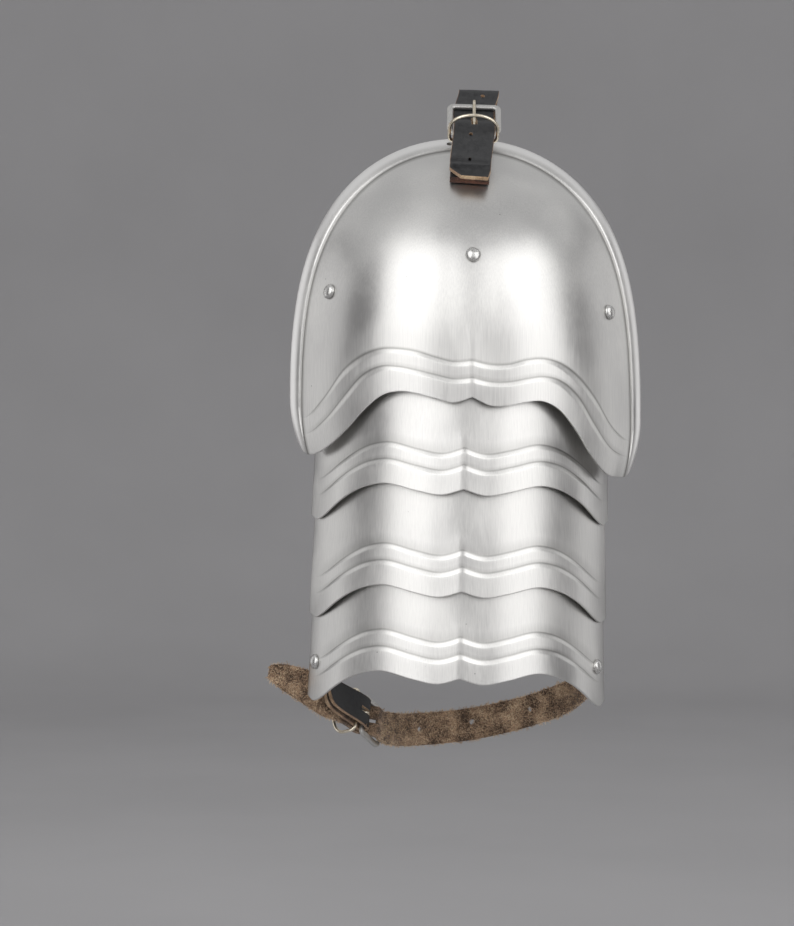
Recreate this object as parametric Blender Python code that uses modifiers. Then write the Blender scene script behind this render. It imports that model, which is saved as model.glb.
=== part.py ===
"""Left pauldron: a domed shoulder plate and three lames, hung on leathers, with a top strap and an arm strap.

X runs from the wearer's front to the back, Y from the outer face towards the neck, and Z up.
The origin is the middle of the top strap's loop, where the pauldron hangs. All sizes are in metres.
"""
import math

import bmesh
import bpy
from mathutils import Matrix, Vector

# Sheet, leather and clearances
STEEL = 0.0012
GAP = 0.0003
HANGER_THICKNESS = 0.0020
STRAP_THICKNESS = 0.0024
CHAPE_THICKNESS = 0.0018

# Shoulder plate
PLATE_HALF_WIDTH = 0.1020
PLATE_CENTRE_X = -0.0075
PLATE_RIM_Y = -0.0024
PLATE_DEPTH = 0.0745
PLATE_CUSP_Z = -0.1733
PLATE_SPRING_RISE = 0.0233
PLATE_ARCH_RISE = 0.1320
PLATE_TOP_LEAN = 0.0220
PLATE_SIDE_TAPER = 0.045
PLATE_YAW = math.radians(1.5)
ARCH_ROUNDNESS = 2.15
DOME_FULLNESS = 2.3
DOME_REACH = 0.92
RIM_BAND = 0.0140
RIM_FLARE = 0.0120
BEAD_WIDTH = 0.0066
BEAD_RISE = 0.0022

# Flutes, which step outwards towards each lower edge
FLUTE_RAISE = 0.0012
FLUTE_WIDTH = 0.0028
FLUTE_FADE = (0.84, 0.94)
RIDGE_RISE = 0.0010
RIDGE_WIDTH = 0.0150

# Lames
LAME_CENTRE_X = -0.0102
LAME_RIM_Y = -0.0150
LAME_HEIGHT = 0.0740
LAME_TOP_HALF_WIDTH = 0.0832
LAME_SIDE_FLARE = 2.5 * STEEL
LAME_TOP_DEPTH = 0.0570
LAME_DEPTH_FLARE = 4.0 * STEEL
LAME_ROLL = math.radians(1.2)
LAME_TOP_CORNER = 0.0080
LAME_PITCHES = (0.0509, 0.0564, 0.0480)
LAME_NAMES = ("upper_lame", "middle_lame", "lower_lame")

# Rivets
SHANK_RADIUS = 0.0016
DOME_RIVET_RADIUS = 0.0044
DOME_RIVET_HEIGHT = 0.0028
FLUSH_RIVET_RADIUS = 0.0035
FLUSH_RIVET_HEIGHT = 0.0005
WASHER_RADIUS = 0.0038
WASHER_THICKNESS = 0.0008
DRILL_DEPTH = 0.0160

# Straps and buckles
HANGER_WIDTH = 0.0220
TOP_STRAP_WIDTH = 0.0236
ARM_STRAP_WIDTH = 0.0195
BUCKLE_BAR = 0.0026
BUCKLE_SIDE = 0.0034
BUCKLE_THICKNESS = 0.0022
BAR_CORNER = math.hypot(BUCKLE_BAR, BUCKLE_THICKNESS) / 2
TOP_BUCKLE_LENGTH = 0.0240
ARM_BUCKLE_LENGTH = 0.0210
RING_WIRE = 0.0010
RING_WIDTH = TOP_STRAP_WIDTH + 0.0040
RING_CORNER = 0.00345
TONGUE_WIRE = 0.0010
CHAPE_STRAIGHT = 0.0065

# The top strap: how far it and its fittings lean, the curve of the dome that its flat ends stand off, and
# where its loop and ring stand behind and above
TOP_STRAP_LEAN = 0.135
DOME_CURVE = 0.0535
TOP_BUCKLE_LEAN = 0.030
TOP_STRAP_SAG = TOP_STRAP_WIDTH ** 2 / (8 * DOME_CURVE)
TOP_HINGE_BAR = (-0.0239, -0.0196)
TOP_BUCKLE_RISE = (0.6, 0.8)
TOP_LOOP_ROUTE = ((0.0015, -0.0300), (0.0095, -0.0255), (0.0145, -0.0185), (0.0155, -0.0100),
                  (0.0128, -0.0015), (0.0078, 0.0052), (0.0015, 0.0083), (-0.0042, 0.0050))
TOP_FRONT_ROUTE = ((-0.0340, -0.0265), (-0.0378, -0.0350))
TOP_TIP_SHARE = 0.60
TOP_RING_BACK = (-0.0278, -0.0250)
TOP_RING_FRONT = (-0.0400, -0.0120)

# The arm strap and its fittings, with the bar's own direction and the way the buckle points
ARM_SAG = 0.0012
ARM_HINGE_BAR = (-0.0670, 0.0080, -0.3578)
ARM_BAR_SIDE = (0.08, 0.58, 0.81)
ARM_BUCKLE_WAY = (0.50, 0.68, -0.54)
ARM_CHAPE_SLANT = math.radians(30.0)
ARM_CHAPE_BEND = (-0.0855, -0.0070, -0.3430)
ARM_STRAP_ROUTE = ((0.0700, -0.0040, -0.3300), (0.0650, 0.0110, -0.3390), (0.0540, 0.0270, -0.3500),
                   (0.0326, 0.0410, -0.3596), (0.0160, 0.0460, -0.3645), (-0.0012, 0.0480, -0.3682),
                   (-0.0180, 0.0470, -0.3702), (-0.0329, 0.0415, -0.3706), (-0.0455, 0.0320, -0.3698))
ARM_END_BEND = (0.0010, -0.0115, 0.0092)
ARM_END_SIDE = (0.20, 0.28, 0.94)
ARM_END_ROUTE = (((-0.0905, 0.0050, -0.3482), 1.00), ((-0.1015, 0.0058, -0.3412), 1.00),
                 ((-0.1120, 0.0055, -0.3363), 0.80), ((-0.1180, 0.0048, -0.3338), 0.60),
                 ((-0.1225, 0.0040, -0.3322), 0.38))
ARM_RING_PLACE = 0.0070
ARM_RING_LENGTH = 0.0160

# Lower edge and flutes of the shoulder plate, as shares of its half width and of its spring rise
EDGE_COLUMNS = ("across", "front_edge", "back_edge", "lower_flute_above", "upper_flute_above")
PLATE_EDGE_ROWS = (
    (0.00, 0.00, 0.00, 0.48, 0.89),
    (0.10, -0.13, -0.20, 0.58, 0.99),
    (0.20, -0.03, -0.20, 0.58, 1.00),
    (0.30, 0.09, -0.11, 0.57, 1.02),
    (0.40, 0.15, -0.09, 0.60, 1.03),
    (0.50, 0.06, -0.30, 0.70, 1.12),
    (0.60, -0.27, -0.78, 0.82, 1.29),
    (0.70, -0.72, -1.39, 0.79, 1.40),
    (0.80, -1.11, -1.82, 0.66, 1.18),
    (0.90, -1.34, -1.91, 0.54, 0.94),
    (0.96, -1.28, -1.84, 0.50, 0.86),
    (1.00, -1.02, -1.58, 0.44, 0.76),
)
# The same for a lame, as shares of its half width and of its height
LAME_EDGE_ROWS = (
    (0.00, 0.000, 0.000, 0.190, 0.315),
    (0.14, -0.045, -0.045, 0.190, 0.315),
    (0.30, -0.014, -0.014, 0.190, 0.315),
    (0.48, 0.034, 0.034, 0.190, 0.315),
    (0.60, 0.015, 0.015, 0.190, 0.315),
    (0.70, -0.038, -0.038, 0.190, 0.315),
    (0.80, -0.122, -0.122, 0.190, 0.315),
    (0.90, -0.220, -0.220, 0.190, 0.315),
    (0.96, -0.261, -0.261, 0.190, 0.315),
    (1.00, -0.230, -0.230, 0.190, 0.315),
)

# Where the rivets stand on the shoulder plate, as shares across and up its arch
SHOULDER_RIVETS = {"front": (-0.765, 0.300), "centre": (0.010, 0.420), "back": (0.785, 0.262)}
# Where they stand on each lame, as shares across and down it
LAME_RIVETS = {"front": (-0.84, 0.12), "centre": (0.0, 0.12), "back": (0.84, 0.12)}
ARM_RIVETS = {"front": (-0.955, 0.745), "back": (0.935, 0.745)}
CHAPE_RIVET = 0.785
# The small spare hole beside the top strap, on the rolled bead
RIM_HOLE = (-0.083, 0.966)

parts = bpy.data.collections.new("left_pauldron")
cutters = bpy.data.collections.new("left_pauldron_cutters")


def smooth_step(low, high, value):
    """0 below low, 1 above high, and a smooth rise between them."""
    share = min(1.0, max(0.0, (value - low) / (high - low)))
    return share * share * (3.0 - 2.0 * share)


def through_rows(rows, column, across):
    """A smooth curve through one named column of an edge table."""
    value = EDGE_COLUMNS.index(column)
    across = min(1.0, max(0.0, across))
    last = len(rows) - 2
    start = min(last, max(i for i in range(len(rows) - 1) if rows[i][0] <= across))
    below, above = rows[start], rows[start + 1]
    before = rows[start - 1] if start > 0 else below
    after = rows[start + 2] if start < last else above
    run = above[0] - below[0]
    slope_in = (above[value] - before[value]) / (above[0] - before[0])
    slope_out = (after[value] - below[value]) / (after[0] - below[0])
    t = (across - below[0]) / run
    return ((2 * t ** 3 - 3 * t ** 2 + 1) * below[value] + (t ** 3 - 2 * t ** 2 + t) * run * slope_in
            + (3 * t ** 2 - 2 * t ** 3) * above[value] + (t ** 3 - t ** 2) * run * slope_out)


def edge_levels(rows, unit, across):
    """Heights above the cusp of the lower edge and of the two flutes, at a signed share across."""
    side = "back_edge" if across > 0 else "front_edge"
    edge = through_rows(rows, side, abs(across)) * unit
    lower = edge + through_rows(rows, "lower_flute_above", abs(across)) * unit
    upper = edge + through_rows(rows, "upper_flute_above", abs(across)) * unit
    return edge, lower, upper


def flute_raise(across, steps):
    """How far the sheet stands out after so many flutes, which taper away near the sides."""
    return steps * FLUTE_RAISE * (1.0 - smooth_step(FLUTE_FADE[0], FLUTE_FADE[1], abs(across)))


def ridge_raise(offset):
    """The soft crease down the middle of each plate."""
    return RIDGE_RISE * max(0.0, 1.0 - abs(offset) / RIDGE_WIDTH) ** 2


def dome_share(reach):
    """1 in the middle of the dome and 0 at its rim."""
    foot = math.sqrt(1.0 - DOME_REACH ** DOME_FULLNESS)
    return (math.sqrt(1.0 - (DOME_REACH * min(1.0, reach)) ** DOME_FULLNESS) - foot) / (1.0 - foot)


def rim_raise(reach, bead):
    """The flared band and the rolled bead beside the shoulder plate's rim."""
    inset = (1.0 - reach) * PLATE_HALF_WIDTH
    flare = RIM_FLARE * max(0.0, 1.0 - inset / RIM_BAND) ** 2
    from_middle = 2.0 * inset / BEAD_WIDTH - 1.0
    return flare + bead * BEAD_RISE * math.sqrt(max(0.0, 1.0 - from_middle ** 2))


def plate_to_world(point):
    """From the shoulder plate's own frame to the pauldron's."""
    return Matrix.Rotation(PLATE_YAW, 3, "Z") @ point + Vector((PLATE_CENTRE_X, 0.0, 0.0))


def plate_join_level(across):
    """The level between the arch and the fluted skirt, above the cusp."""
    upper = edge_levels(PLATE_EDGE_ROWS, PLATE_SPRING_RISE, across)[2]
    return upper + 0.35 * PLATE_SPRING_RISE


def arch_point(across, up, ridge=1.0):
    """A point on the domed arch. The two shares stay inside a half disc whose round side is the rim."""
    reach = math.hypot(across, up)
    if reach > 0.0:
        cosine, sine = abs(across) / reach, up / reach
        corner = (cosine ** ARCH_ROUNDNESS + sine ** ARCH_ROUNDNESS) ** (-1.0 / ARCH_ROUNDNESS)
        swell = 1.0 + (corner - 1.0) * reach ** 2
    else:
        swell = 1.0
    wide, high = across * swell, up * swell
    join = plate_join_level(across)
    x = wide * PLATE_HALF_WIDTH
    z = PLATE_SPRING_RISE + PLATE_ARCH_RISE * high + (join - PLATE_SPRING_RISE) * max(0.0, 1.0 - high) ** 4
    y = PLATE_RIM_Y + PLATE_TOP_LEAN * high ** 4 - PLATE_DEPTH * dome_share(reach)
    y -= rim_raise(reach, 1.0) + ridge * ridge_raise(x) * dome_share(reach)
    return plate_to_world(Vector((x, y, PLATE_CUSP_Z + z)))


def skirt_point(across, row):
    """A point on the fluted skirt below the arch. A row is a name, its share of the run and its flutes."""
    level, steps = skirt_level(across, row)
    join = plate_join_level(across)
    edge = edge_levels(PLATE_EDGE_ROWS, PLATE_SPRING_RISE, across)[0]
    fall = (join - level) / (join - edge)
    x = across * PLATE_HALF_WIDTH * (1.0 - PLATE_SIDE_TAPER * fall ** 2 * abs(across))
    y = PLATE_RIM_Y - PLATE_DEPTH * dome_share(abs(across))
    y -= rim_raise(abs(across), 1.0 - 0.6 * fall) + ridge_raise(x)
    y -= flute_raise(across, steps)
    return plate_to_world(Vector((x, y, PLATE_CUSP_Z + level)))


def skirt_level(across, row):
    """The height of one row of the skirt above the cusp, and how many flutes stand above it."""
    edge, lower, upper = edge_levels(PLATE_EDGE_ROWS, PLATE_SPRING_RISE, across)
    steep = math.hypot(1.0, edge_slope(PLATE_EDGE_ROWS, PLATE_SPRING_RISE, PLATE_HALF_WIDTH, across))
    foot = FLUTE_WIDTH * min(steep, 1.6)
    levels = {
        "join": (plate_join_level(across), 0),
        "upper_top": (upper, 0),
        "upper_foot": (upper - foot, 1),
        "lower_top": (lower, 1),
        "lower_foot": (lower - foot, 2),
        "edge": (edge, 2),
    }
    return levels[row]


def edge_slope(rows, unit, half_width, across):
    """The slope of the lower edge, for the width of a flute measured along the edge's own normal."""
    step = 0.02
    ahead = edge_levels(rows, unit, min(1.0, abs(across) + step) * math.copysign(1.0, across))[0]
    behind = edge_levels(rows, unit, max(0.0, abs(across) - step) * math.copysign(1.0, across))[0]
    return (ahead - behind) / (2.0 * step * half_width)


def lame_cusp_level(index):
    """The height of a lame's middle cusp."""
    return PLATE_CUSP_Z - sum(LAME_PITCHES[:index + 1])


def lame_point(index, across, down, steps=0, inset=0.0, ridge=1.0):
    """A point on a lame, at a share across and a share down it, set in from its outer face."""
    edge = edge_levels(LAME_EDGE_ROWS, LAME_HEIGHT, across)[0]
    top = LAME_HEIGHT - LAME_TOP_CORNER * abs(across) ** 6
    level = top + (edge - top) * down
    half_width = LAME_TOP_HALF_WIDTH + LAME_SIDE_FLARE * down
    depth = LAME_TOP_DEPTH + LAME_DEPTH_FLARE * down
    radius = (half_width ** 2 + depth ** 2) / (2.0 * depth)
    x = across * half_width
    outward = Vector((x, -math.sqrt(radius ** 2 - x ** 2), 0.0)) / radius
    point = outward * (radius + ridge * ridge_raise(x) + flute_raise(across, steps) - inset)
    point.y += radius - depth
    point.z = level
    point.z += lame_cusp_level(index) - lame_cusp_level(0)
    rolled = Matrix.Rotation(LAME_ROLL, 3, "Y") @ point
    return rolled + Vector((LAME_CENTRE_X, LAME_RIM_Y, lame_cusp_level(0)))


def lame_rows(across):
    """The rows of a lame from top to edge, as shares down it, with the flutes above each."""
    edge, lower, upper = edge_levels(LAME_EDGE_ROWS, LAME_HEIGHT, across)
    top = LAME_HEIGHT - LAME_TOP_CORNER * abs(across) ** 6
    steep = math.hypot(1.0, edge_slope(LAME_EDGE_ROWS, LAME_HEIGHT, LAME_TOP_HALF_WIDTH, across))
    foot = FLUTE_WIDTH * min(steep, 1.6)
    marks = ((top, 0), ((top + upper) / 2, 0), (upper, 0), (upper - foot, 1), (lower, 1), (lower - foot, 2),
             (edge, 2))
    return [((top - level) / (top - edge), steps) for level, steps in marks]


def outward_at(surface, across, along, step=0.01):
    """The outward normal of a surface of two shares."""
    over = surface(across + step, along) - surface(across - step, along)
    rise = surface(across, along + step) - surface(across, along - step)
    normal = over.cross(rise).normalized()
    return normal if normal.y < 0 else -normal


def add_finish(piece, colour, roughness, metallic):
    """Gives a piece its own material."""
    material = bpy.data.materials.new(piece.name + "_finish")
    material.use_nodes = True
    shader = material.node_tree.nodes["Principled BSDF"]
    shader.inputs["Base Color"].default_value = (*colour, 1.0)
    shader.inputs["Roughness"].default_value = roughness
    shader.inputs["Metallic"].default_value = metallic
    piece.data.materials.append(material)


def satin_steel(piece):
    add_finish(piece, (0.62, 0.63, 0.64), 0.32, 1.0)


def black_leather(piece):
    add_finish(piece, (0.02, 0.02, 0.022), 0.55, 0.0)


def nickel_wire(piece):
    add_finish(piece, (0.72, 0.69, 0.63), 0.25, 1.0)


def add_mesh_object(name, bm, collection=parts):
    """Turns a finished bmesh into a named object."""
    mesh = bpy.data.meshes.new(name)
    bm.to_mesh(mesh)
    bm.free()
    piece = bpy.data.objects.new(name, mesh)
    collection.objects.link(piece)
    return piece


def add_grid(bm, columns, rows, place):
    """Adds a grid whose corners are put where place says, for each column and row number."""
    made = bmesh.ops.create_grid(bm, x_segments=columns, y_segments=rows, size=1.0)
    for vertex in made["verts"]:
        column = round((vertex.co.x + 1.0) / 2.0 * columns)
        row = round((vertex.co.y + 1.0) / 2.0 * rows)
        vertex.co = place(column, row)


def face_outwards(bm, outward):
    """Turns every face of an open surface to the side that outward says."""
    bmesh.ops.remove_doubles(bm, verts=bm.verts, dist=1e-6)
    bmesh.ops.recalc_face_normals(bm, faces=bm.faces)
    bm.faces.ensure_lookup_table()
    face = bm.faces[0]
    if face.normal.dot(outward(face.calc_center_median())) < 0:
        bmesh.ops.reverse_faces(bm, faces=bm.faces)


def thicken(piece, thickness, offset):
    """Gives an open surface its wall."""
    wall = piece.modifiers.new("wall", "SOLIDIFY")
    wall.thickness = thickness
    wall.offset = offset
    wall.use_even_offset = True


def drill(piece, holes):
    """Cuts round holes, each a centre and a direction, with clearance round a rivet's shank."""
    bm = bmesh.new()
    for centre, direction in holes:
        turn = direction.to_track_quat("Z", "Y").to_matrix().to_4x4()
        bmesh.ops.create_cone(bm, cap_ends=True, segments=12, radius1=SHANK_RADIUS + GAP,
                              radius2=SHANK_RADIUS + GAP, depth=DRILL_DEPTH,
                              matrix=Matrix.Translation(centre) @ turn)
    cut_away(piece, add_mesh_object(piece.name + "_holes", bm, cutters))


def cut_away(piece, cutter):
    """Subtracts a cutter, which is left out of the model."""
    cutter.hide_render = True
    cutter.display_type = "WIRE"
    cut = piece.modifiers.new("cut", "BOOLEAN")
    cut.operation = "DIFFERENCE"
    cut.object = cutter


def add_rivet(name, centre, direction, head_radius, head_height, grip, head_steps=3):
    """A turned rivet: head outside, shank, and washer inside, with its seat at the centre."""
    bm = bmesh.new()
    profile = []
    for i in range(head_steps + 1):
        angle = math.pi / 2 * i / head_steps
        profile.append((head_radius * math.sin(angle), GAP + head_height * math.cos(angle)))
    profile.append((SHANK_RADIUS, GAP))
    profile.append((SHANK_RADIUS, -grip))
    profile.append((WASHER_RADIUS, -grip))
    profile.append((WASHER_RADIUS, -grip - WASHER_THICKNESS))
    profile.append((0.0, -grip - WASHER_THICKNESS))
    vertices = [bm.verts.new((radius, 0.0, height)) for radius, height in profile]
    for first, second in zip(vertices, vertices[1:]):
        bm.edges.new((first, second))
    piece = add_mesh_object(name, bm)
    turn = piece.modifiers.new("turn", "SCREW")
    turn.steps = 12
    turn.render_steps = 12
    turn.use_merge_vertices = True
    turn.merge_threshold = 0.00001
    piece.matrix_world = Matrix.Translation(centre) @ direction.to_track_quat("Z", "Y").to_matrix().to_4x4()
    satin_steel(piece)
    return piece


def smooth_stations(stations, count):
    """Evenly counted stations on a smooth curve through the given ones: point, side and half width."""
    spans = len(stations) - 1
    result = []
    for i in range(count + 1):
        place = min(spans - 1e-9, spans * i / count)
        start = int(place)
        t = place - start
        near = [stations[min(spans, max(0, start + k))] for k in (-1, 0, 1, 2)]
        weights = ((-t ** 3 + 2 * t ** 2 - t) / 2, (3 * t ** 3 - 5 * t ** 2 + 2) / 2,
                   (-3 * t ** 3 + 4 * t ** 2 + t) / 2, (t ** 3 - t ** 2) / 2)
        point = sum((w * s[0] for w, s in zip(weights, near)), Vector())
        side = sum((w * s[1] for w, s in zip(weights, near)), Vector()).normalized()
        width = (1.0 - t) * near[1][2] + t * near[2][2]
        result.append((point, side, width))
    return result


def add_ribbon(name, stations, thickness, across=2):
    """A flat strap along its stations, with an even thickness about its middle surface."""
    bm = bmesh.new()

    def place(column, row):
        point, side, half_width = stations[row]
        return point + side * half_width * (2.0 * column / across - 1.0)

    add_grid(bm, across, len(stations) - 1, place)
    bmesh.ops.recalc_face_normals(bm, faces=bm.faces)
    piece = add_mesh_object(name, bm)
    thicken(piece, thickness, 0.0)
    black_leather(piece)
    return piece


def add_wire(name, points, radius, closed=False, sides=2):
    """A round wire along its points."""
    curve = bpy.data.curves.new(name, "CURVE")
    curve.dimensions = "3D"
    curve.bevel_depth = radius
    curve.bevel_resolution = sides
    curve.use_fill_caps = not closed
    spline = curve.splines.new("POLY")
    spline.points.add(len(points) - 1)
    for target, point in zip(spline.points, points):
        target.co = (*point, 1.0)
    spline.use_cyclic_u = closed
    piece = bpy.data.objects.new(name, curve)
    parts.objects.link(piece)
    nickel_wire(piece)
    return piece


def plate_columns():
    """Shares from the middle of the dome out to its rim, close together on the bead."""
    inset = [0.0, 0.18, 0.5, 0.82, 1.0]
    bead = [1.0 - share * BEAD_WIDTH / PLATE_HALF_WIDTH for share in inset]
    band = [1.0 - RIM_BAND * share / PLATE_HALF_WIDTH for share in (0.72, 1.0)]
    return [0.76, 0.82] + band[::-1] + bead[::-1]


def disc_corner(column, row, cells, reach):
    """A corner of a square grid, squeezed into a half disc of the given reach."""
    a = 2.0 * column / cells - 1.0
    b = 2.0 * row / cells
    return reach * a * math.sqrt(1.0 - b * b / 2.0), reach * b * math.sqrt(1.0 - a * a / 2.0)


def build_shoulder_plate():
    """The domed cap: a square grid inside, rings out to the rim, and the fluted skirt below."""
    cells = 16
    inner = 0.70
    rings = [inner] + plate_columns()
    bm = bmesh.new()
    add_grid(bm, cells, cells // 2, lambda c, r: arch_point(*disc_corner(c, r, cells, inner)))
    border = [(cells, r) for r in range(cells // 2 + 1)]
    border += [(cells - c, cells // 2) for c in range(1, cells + 1)]
    border += [(0, cells // 2 - r) for r in range(1, cells // 2 + 1)]

    def ring_place(column, row):
        x, z = disc_corner(*border[column], cells, 1.0)
        return arch_point(x * rings[row], z * rings[row])

    add_grid(bm, len(border) - 1, len(rings) - 1, ring_place)
    middle = [inner * (2.0 * c / cells - 1.0) for c in range(cells + 1)]
    columns = [-r for r in rings[:0:-1]] + middle + rings[1:]
    rows = ("join", "upper_top", "upper_foot", "lower_top", "lower_foot", "edge")
    add_grid(bm, len(columns) - 1, len(rows) - 1, lambda c, r: skirt_point(columns[c], rows[r]))
    face_outwards(bm, lambda point: Vector((0.0, -1.0, 0.0)))
    piece = add_mesh_object("shoulder_plate", bm)
    thicken(piece, STEEL, -1.0)
    satin_steel(piece)
    return piece


def build_lame(index):
    """One lame: a third of a tube with two flutes and a waved edge."""
    cells = 28
    bm = bmesh.new()
    reach = math.radians(70.0)

    def place(column, row):
        across = math.sin(reach * (2.0 * column / cells - 1.0)) / math.sin(reach)
        down, steps = lame_rows(across)[row]
        return lame_point(index, across, down, steps)

    add_grid(bm, cells, len(lame_rows(0.0)) - 1, place)
    face_outwards(bm, lambda point: Vector((point.x - LAME_CENTRE_X, point.y, 0.0)))
    piece = add_mesh_object(LAME_NAMES[index], bm)
    thicken(piece, STEEL, -1.0)
    satin_steel(piece)
    return piece


def rivet_seats():
    """Each rivet that holds a leather: its plate, its place and its direction."""
    seats = {}
    for place, (across, up) in SHOULDER_RIVETS.items():
        normal = outward_at(arch_point, across, up)
        seats["shoulder_rivet_" + place] = ("shoulder_plate", arch_point(across, up), normal)
    for index, plate in enumerate(LAME_NAMES):
        for place, (across, down) in LAME_RIVETS.items():
            def surface(a, d, index=index):
                return lame_point(index, a, d)
            seats[plate + "_rivet_" + place] = (plate, surface(across, down), outward_at(surface, across, down))
    return seats


def build_hanger(place):
    """A leather inside the plates: flat on the shoulder plate, then flat on the top of each lame."""
    outer = STEEL + GAP
    cells = 4
    across, up = SHOULDER_RIVETS[place]
    lame_across = LAME_RIVETS[place][0]
    rows = [("arch", up + shift) for shift in (0.09, 0.0, -0.09)]
    rows += [(index, down) for index in range(len(LAME_NAMES)) for down in (-0.04, 0.12, 0.24)]

    def place_corner(column, row):
        share = column / cells - 0.5
        where, along = rows[row]
        if where == "arch":
            shift = share * HANGER_WIDTH / PLATE_HALF_WIDTH * math.sqrt(1.0 - across ** 2)
            point = arch_point(across + shift, along, 0.0)
            return point - outward_at(arch_point, across + shift, along) * outer
        shift = share * HANGER_WIDTH / LAME_TOP_HALF_WIDTH * math.sqrt(1.0 - (0.93 * lame_across) ** 2)
        return lame_point(where, lame_across + shift, along, inset=outer, ridge=0.0)

    bm = bmesh.new()
    add_grid(bm, cells, len(rows) - 1, place_corner)
    face_outwards(bm, lambda point: Vector((point.x - LAME_CENTRE_X, point.y, 0.0)))
    piece = add_mesh_object(place + "_leather", bm)
    thicken(piece, HANGER_THICKNESS, -1.0)
    black_leather(piece)
    return piece


def square_up(stations):
    """Turns each side vector square to the route, and adds the normal: point, side, half width, normal."""
    result = []
    last = len(stations) - 1
    for i, (point, side, half_width) in enumerate(stations):
        along = (stations[min(last, i + 1)][0] - stations[max(0, i - 1)][0]).normalized()
        square = (side - along * side.dot(along)).normalized()
        result.append((point, square, half_width, along.cross(square)))
    return result


def folded_stations(path, start_gap, bar_gap, fold_steps=5):
    """A chape's route: down one side of its path, round the buckle's bar, and back on the other side."""
    squared = square_up(path)
    last = len(squared) - 1
    gaps = [start_gap + (bar_gap - start_gap) * smooth_step(0.35, 1.0, i / last) for i in range(last + 1)]
    out = [(p + n * g, s, w) for (p, s, w, n), g in zip(squared, gaps)]
    back = [(p - n * g, s, w) for (p, s, w, n), g in zip(squared, gaps)]
    bar, side, half_width, normal = squared[-1]
    along = side.cross(normal) if side.cross(normal).dot(bar - squared[-2][0]) > 0 else normal.cross(side)
    fold = []
    for i in range(1, fold_steps):
        angle = math.pi * i / fold_steps
        fold.append((bar + (normal * math.cos(angle) + along * math.sin(angle)) * bar_gap, side, half_width))
    return out + fold + back[::-1]


def add_buckle_frame(name, frame, inner_width, length):
    """A flat cast frame. Its matrix has the bars along X, the hinge bar at the origin and the rest up Y."""
    half = inner_width / 2 + BUCKLE_SIDE
    corner = BUCKLE_SIDE * 0.6
    curve = bpy.data.curves.new(name, "CURVE")
    curve.dimensions = "2D"
    curve.fill_mode = "BOTH"
    curve.extrude = BUCKLE_THICKNESS / 2
    low, high = -BUCKLE_BAR / 2, length - BUCKLE_BAR / 2
    add_rounded_loop(curve, half, low, high, corner)
    add_rounded_loop(curve, inner_width / 2, low + BUCKLE_BAR, high - BUCKLE_BAR, corner / 3)
    piece = bpy.data.objects.new(name, curve)
    parts.objects.link(piece)
    piece.matrix_world = frame
    nickel_wire(piece)
    return piece


def add_rounded_loop(curve, half, low, high, corner, steps=3):
    """A rectangle with rounded corners, as one closed outline."""
    points = []
    for x_sign, y, start in ((1, high, 0), (-1, high, 1), (-1, low, 2), (1, low, 3)):
        centre_x = x_sign * (half - corner)
        centre_y = y - corner if y == high else y + corner
        for i in range(steps + 1):
            angle = math.pi / 2 * (start + i / steps)
            points.append((centre_x + corner * math.cos(angle), centre_y + corner * math.sin(angle)))
    spline = curve.splines.new("POLY")
    spline.points.add(len(points) - 1)
    for target, (x, y) in zip(spline.points, points):
        target.co = (x, y, 0.0, 1.0)
    spline.use_cyclic_u = True


def frame_matrix(origin, across, along):
    """A placing matrix whose X runs across and whose Y runs along."""
    across = across.normalized()
    along = (along - across * along.dot(across)).normalized()
    turn = Matrix((across, along, across.cross(along))).transposed().to_4x4()
    return Matrix.Translation(origin) @ turn


def add_tongue(name, frame, length):
    """A wire tongue: an eye round the hinge bar, then a shaft that rests on the far bar."""
    eye = BAR_CORNER + GAP + TONGUE_WIRE
    points = []
    steps = 10
    for i in range(steps + 1):
        angle = math.pi / 2 + math.radians(285.0) * (1.0 - i / steps)
        points.append(frame @ Vector((0.0, eye * math.cos(angle), eye * math.sin(angle))))
    rest = BUCKLE_THICKNESS / 2 + GAP + TONGUE_WIRE
    for share in (0.33, 0.66, 1.0):
        points.append(frame @ Vector((0.0, length * share, eye + (rest - eye) * share)))
    return add_wire(name, points, TONGUE_WIRE, sides=1)


def through_buckle(frame, length):
    """The strap's way: behind the far bar, up through the frame, and over the hinge bar and chape."""
    behind = -BUCKLE_THICKNESS / 2 - GAP - STRAP_THICKNESS / 2
    over = BAR_CORNER + 2 * TONGUE_WIRE + 3 * GAP + STRAP_THICKNESS / 2
    far = length - BUCKLE_BAR
    rows = ((far - GAP, behind - GAP), (far * 0.62, behind), (over * 1.04, over * 0.50),
            (over * 0.28, over), (-over * 0.80, over))
    return [frame @ Vector((0.0, along, face)) for along, face in rows]


def add_buckle(name, frame, strap_width, length, chape, strap):
    """The frame and tongue of a buckle, with the slots for the tongue in the chape and in the strap."""
    width = 2 * TONGUE_WIRE + 4 * GAP
    deep = 4 * BAR_CORNER + 4 * CHAPE_THICKNESS
    cut_away(chape, add_box_cutter(name + "_chape_slot", frame, (width, deep, deep), 0.0))
    reach = 0.55 * length
    cut_away(strap, add_box_cutter(name + "_strap_slot", frame, (width, reach, deep), reach / 2))
    add_buckle_frame(name + "_frame", frame, strap_width + 3 * GAP, length)
    add_tongue(name + "_tongue", frame, length)


def add_box_cutter(name, frame, size, along):
    """A box that cuts a slot, placed so far along a buckle's own frame."""
    bm = bmesh.new()
    middle = Matrix.Translation((0.0, along, 0.0))
    bmesh.ops.create_cube(bm, size=1.0, matrix=frame @ middle @ Matrix.Diagonal((*size, 1.0)))
    return add_mesh_object(name, bm, cutters)


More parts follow.
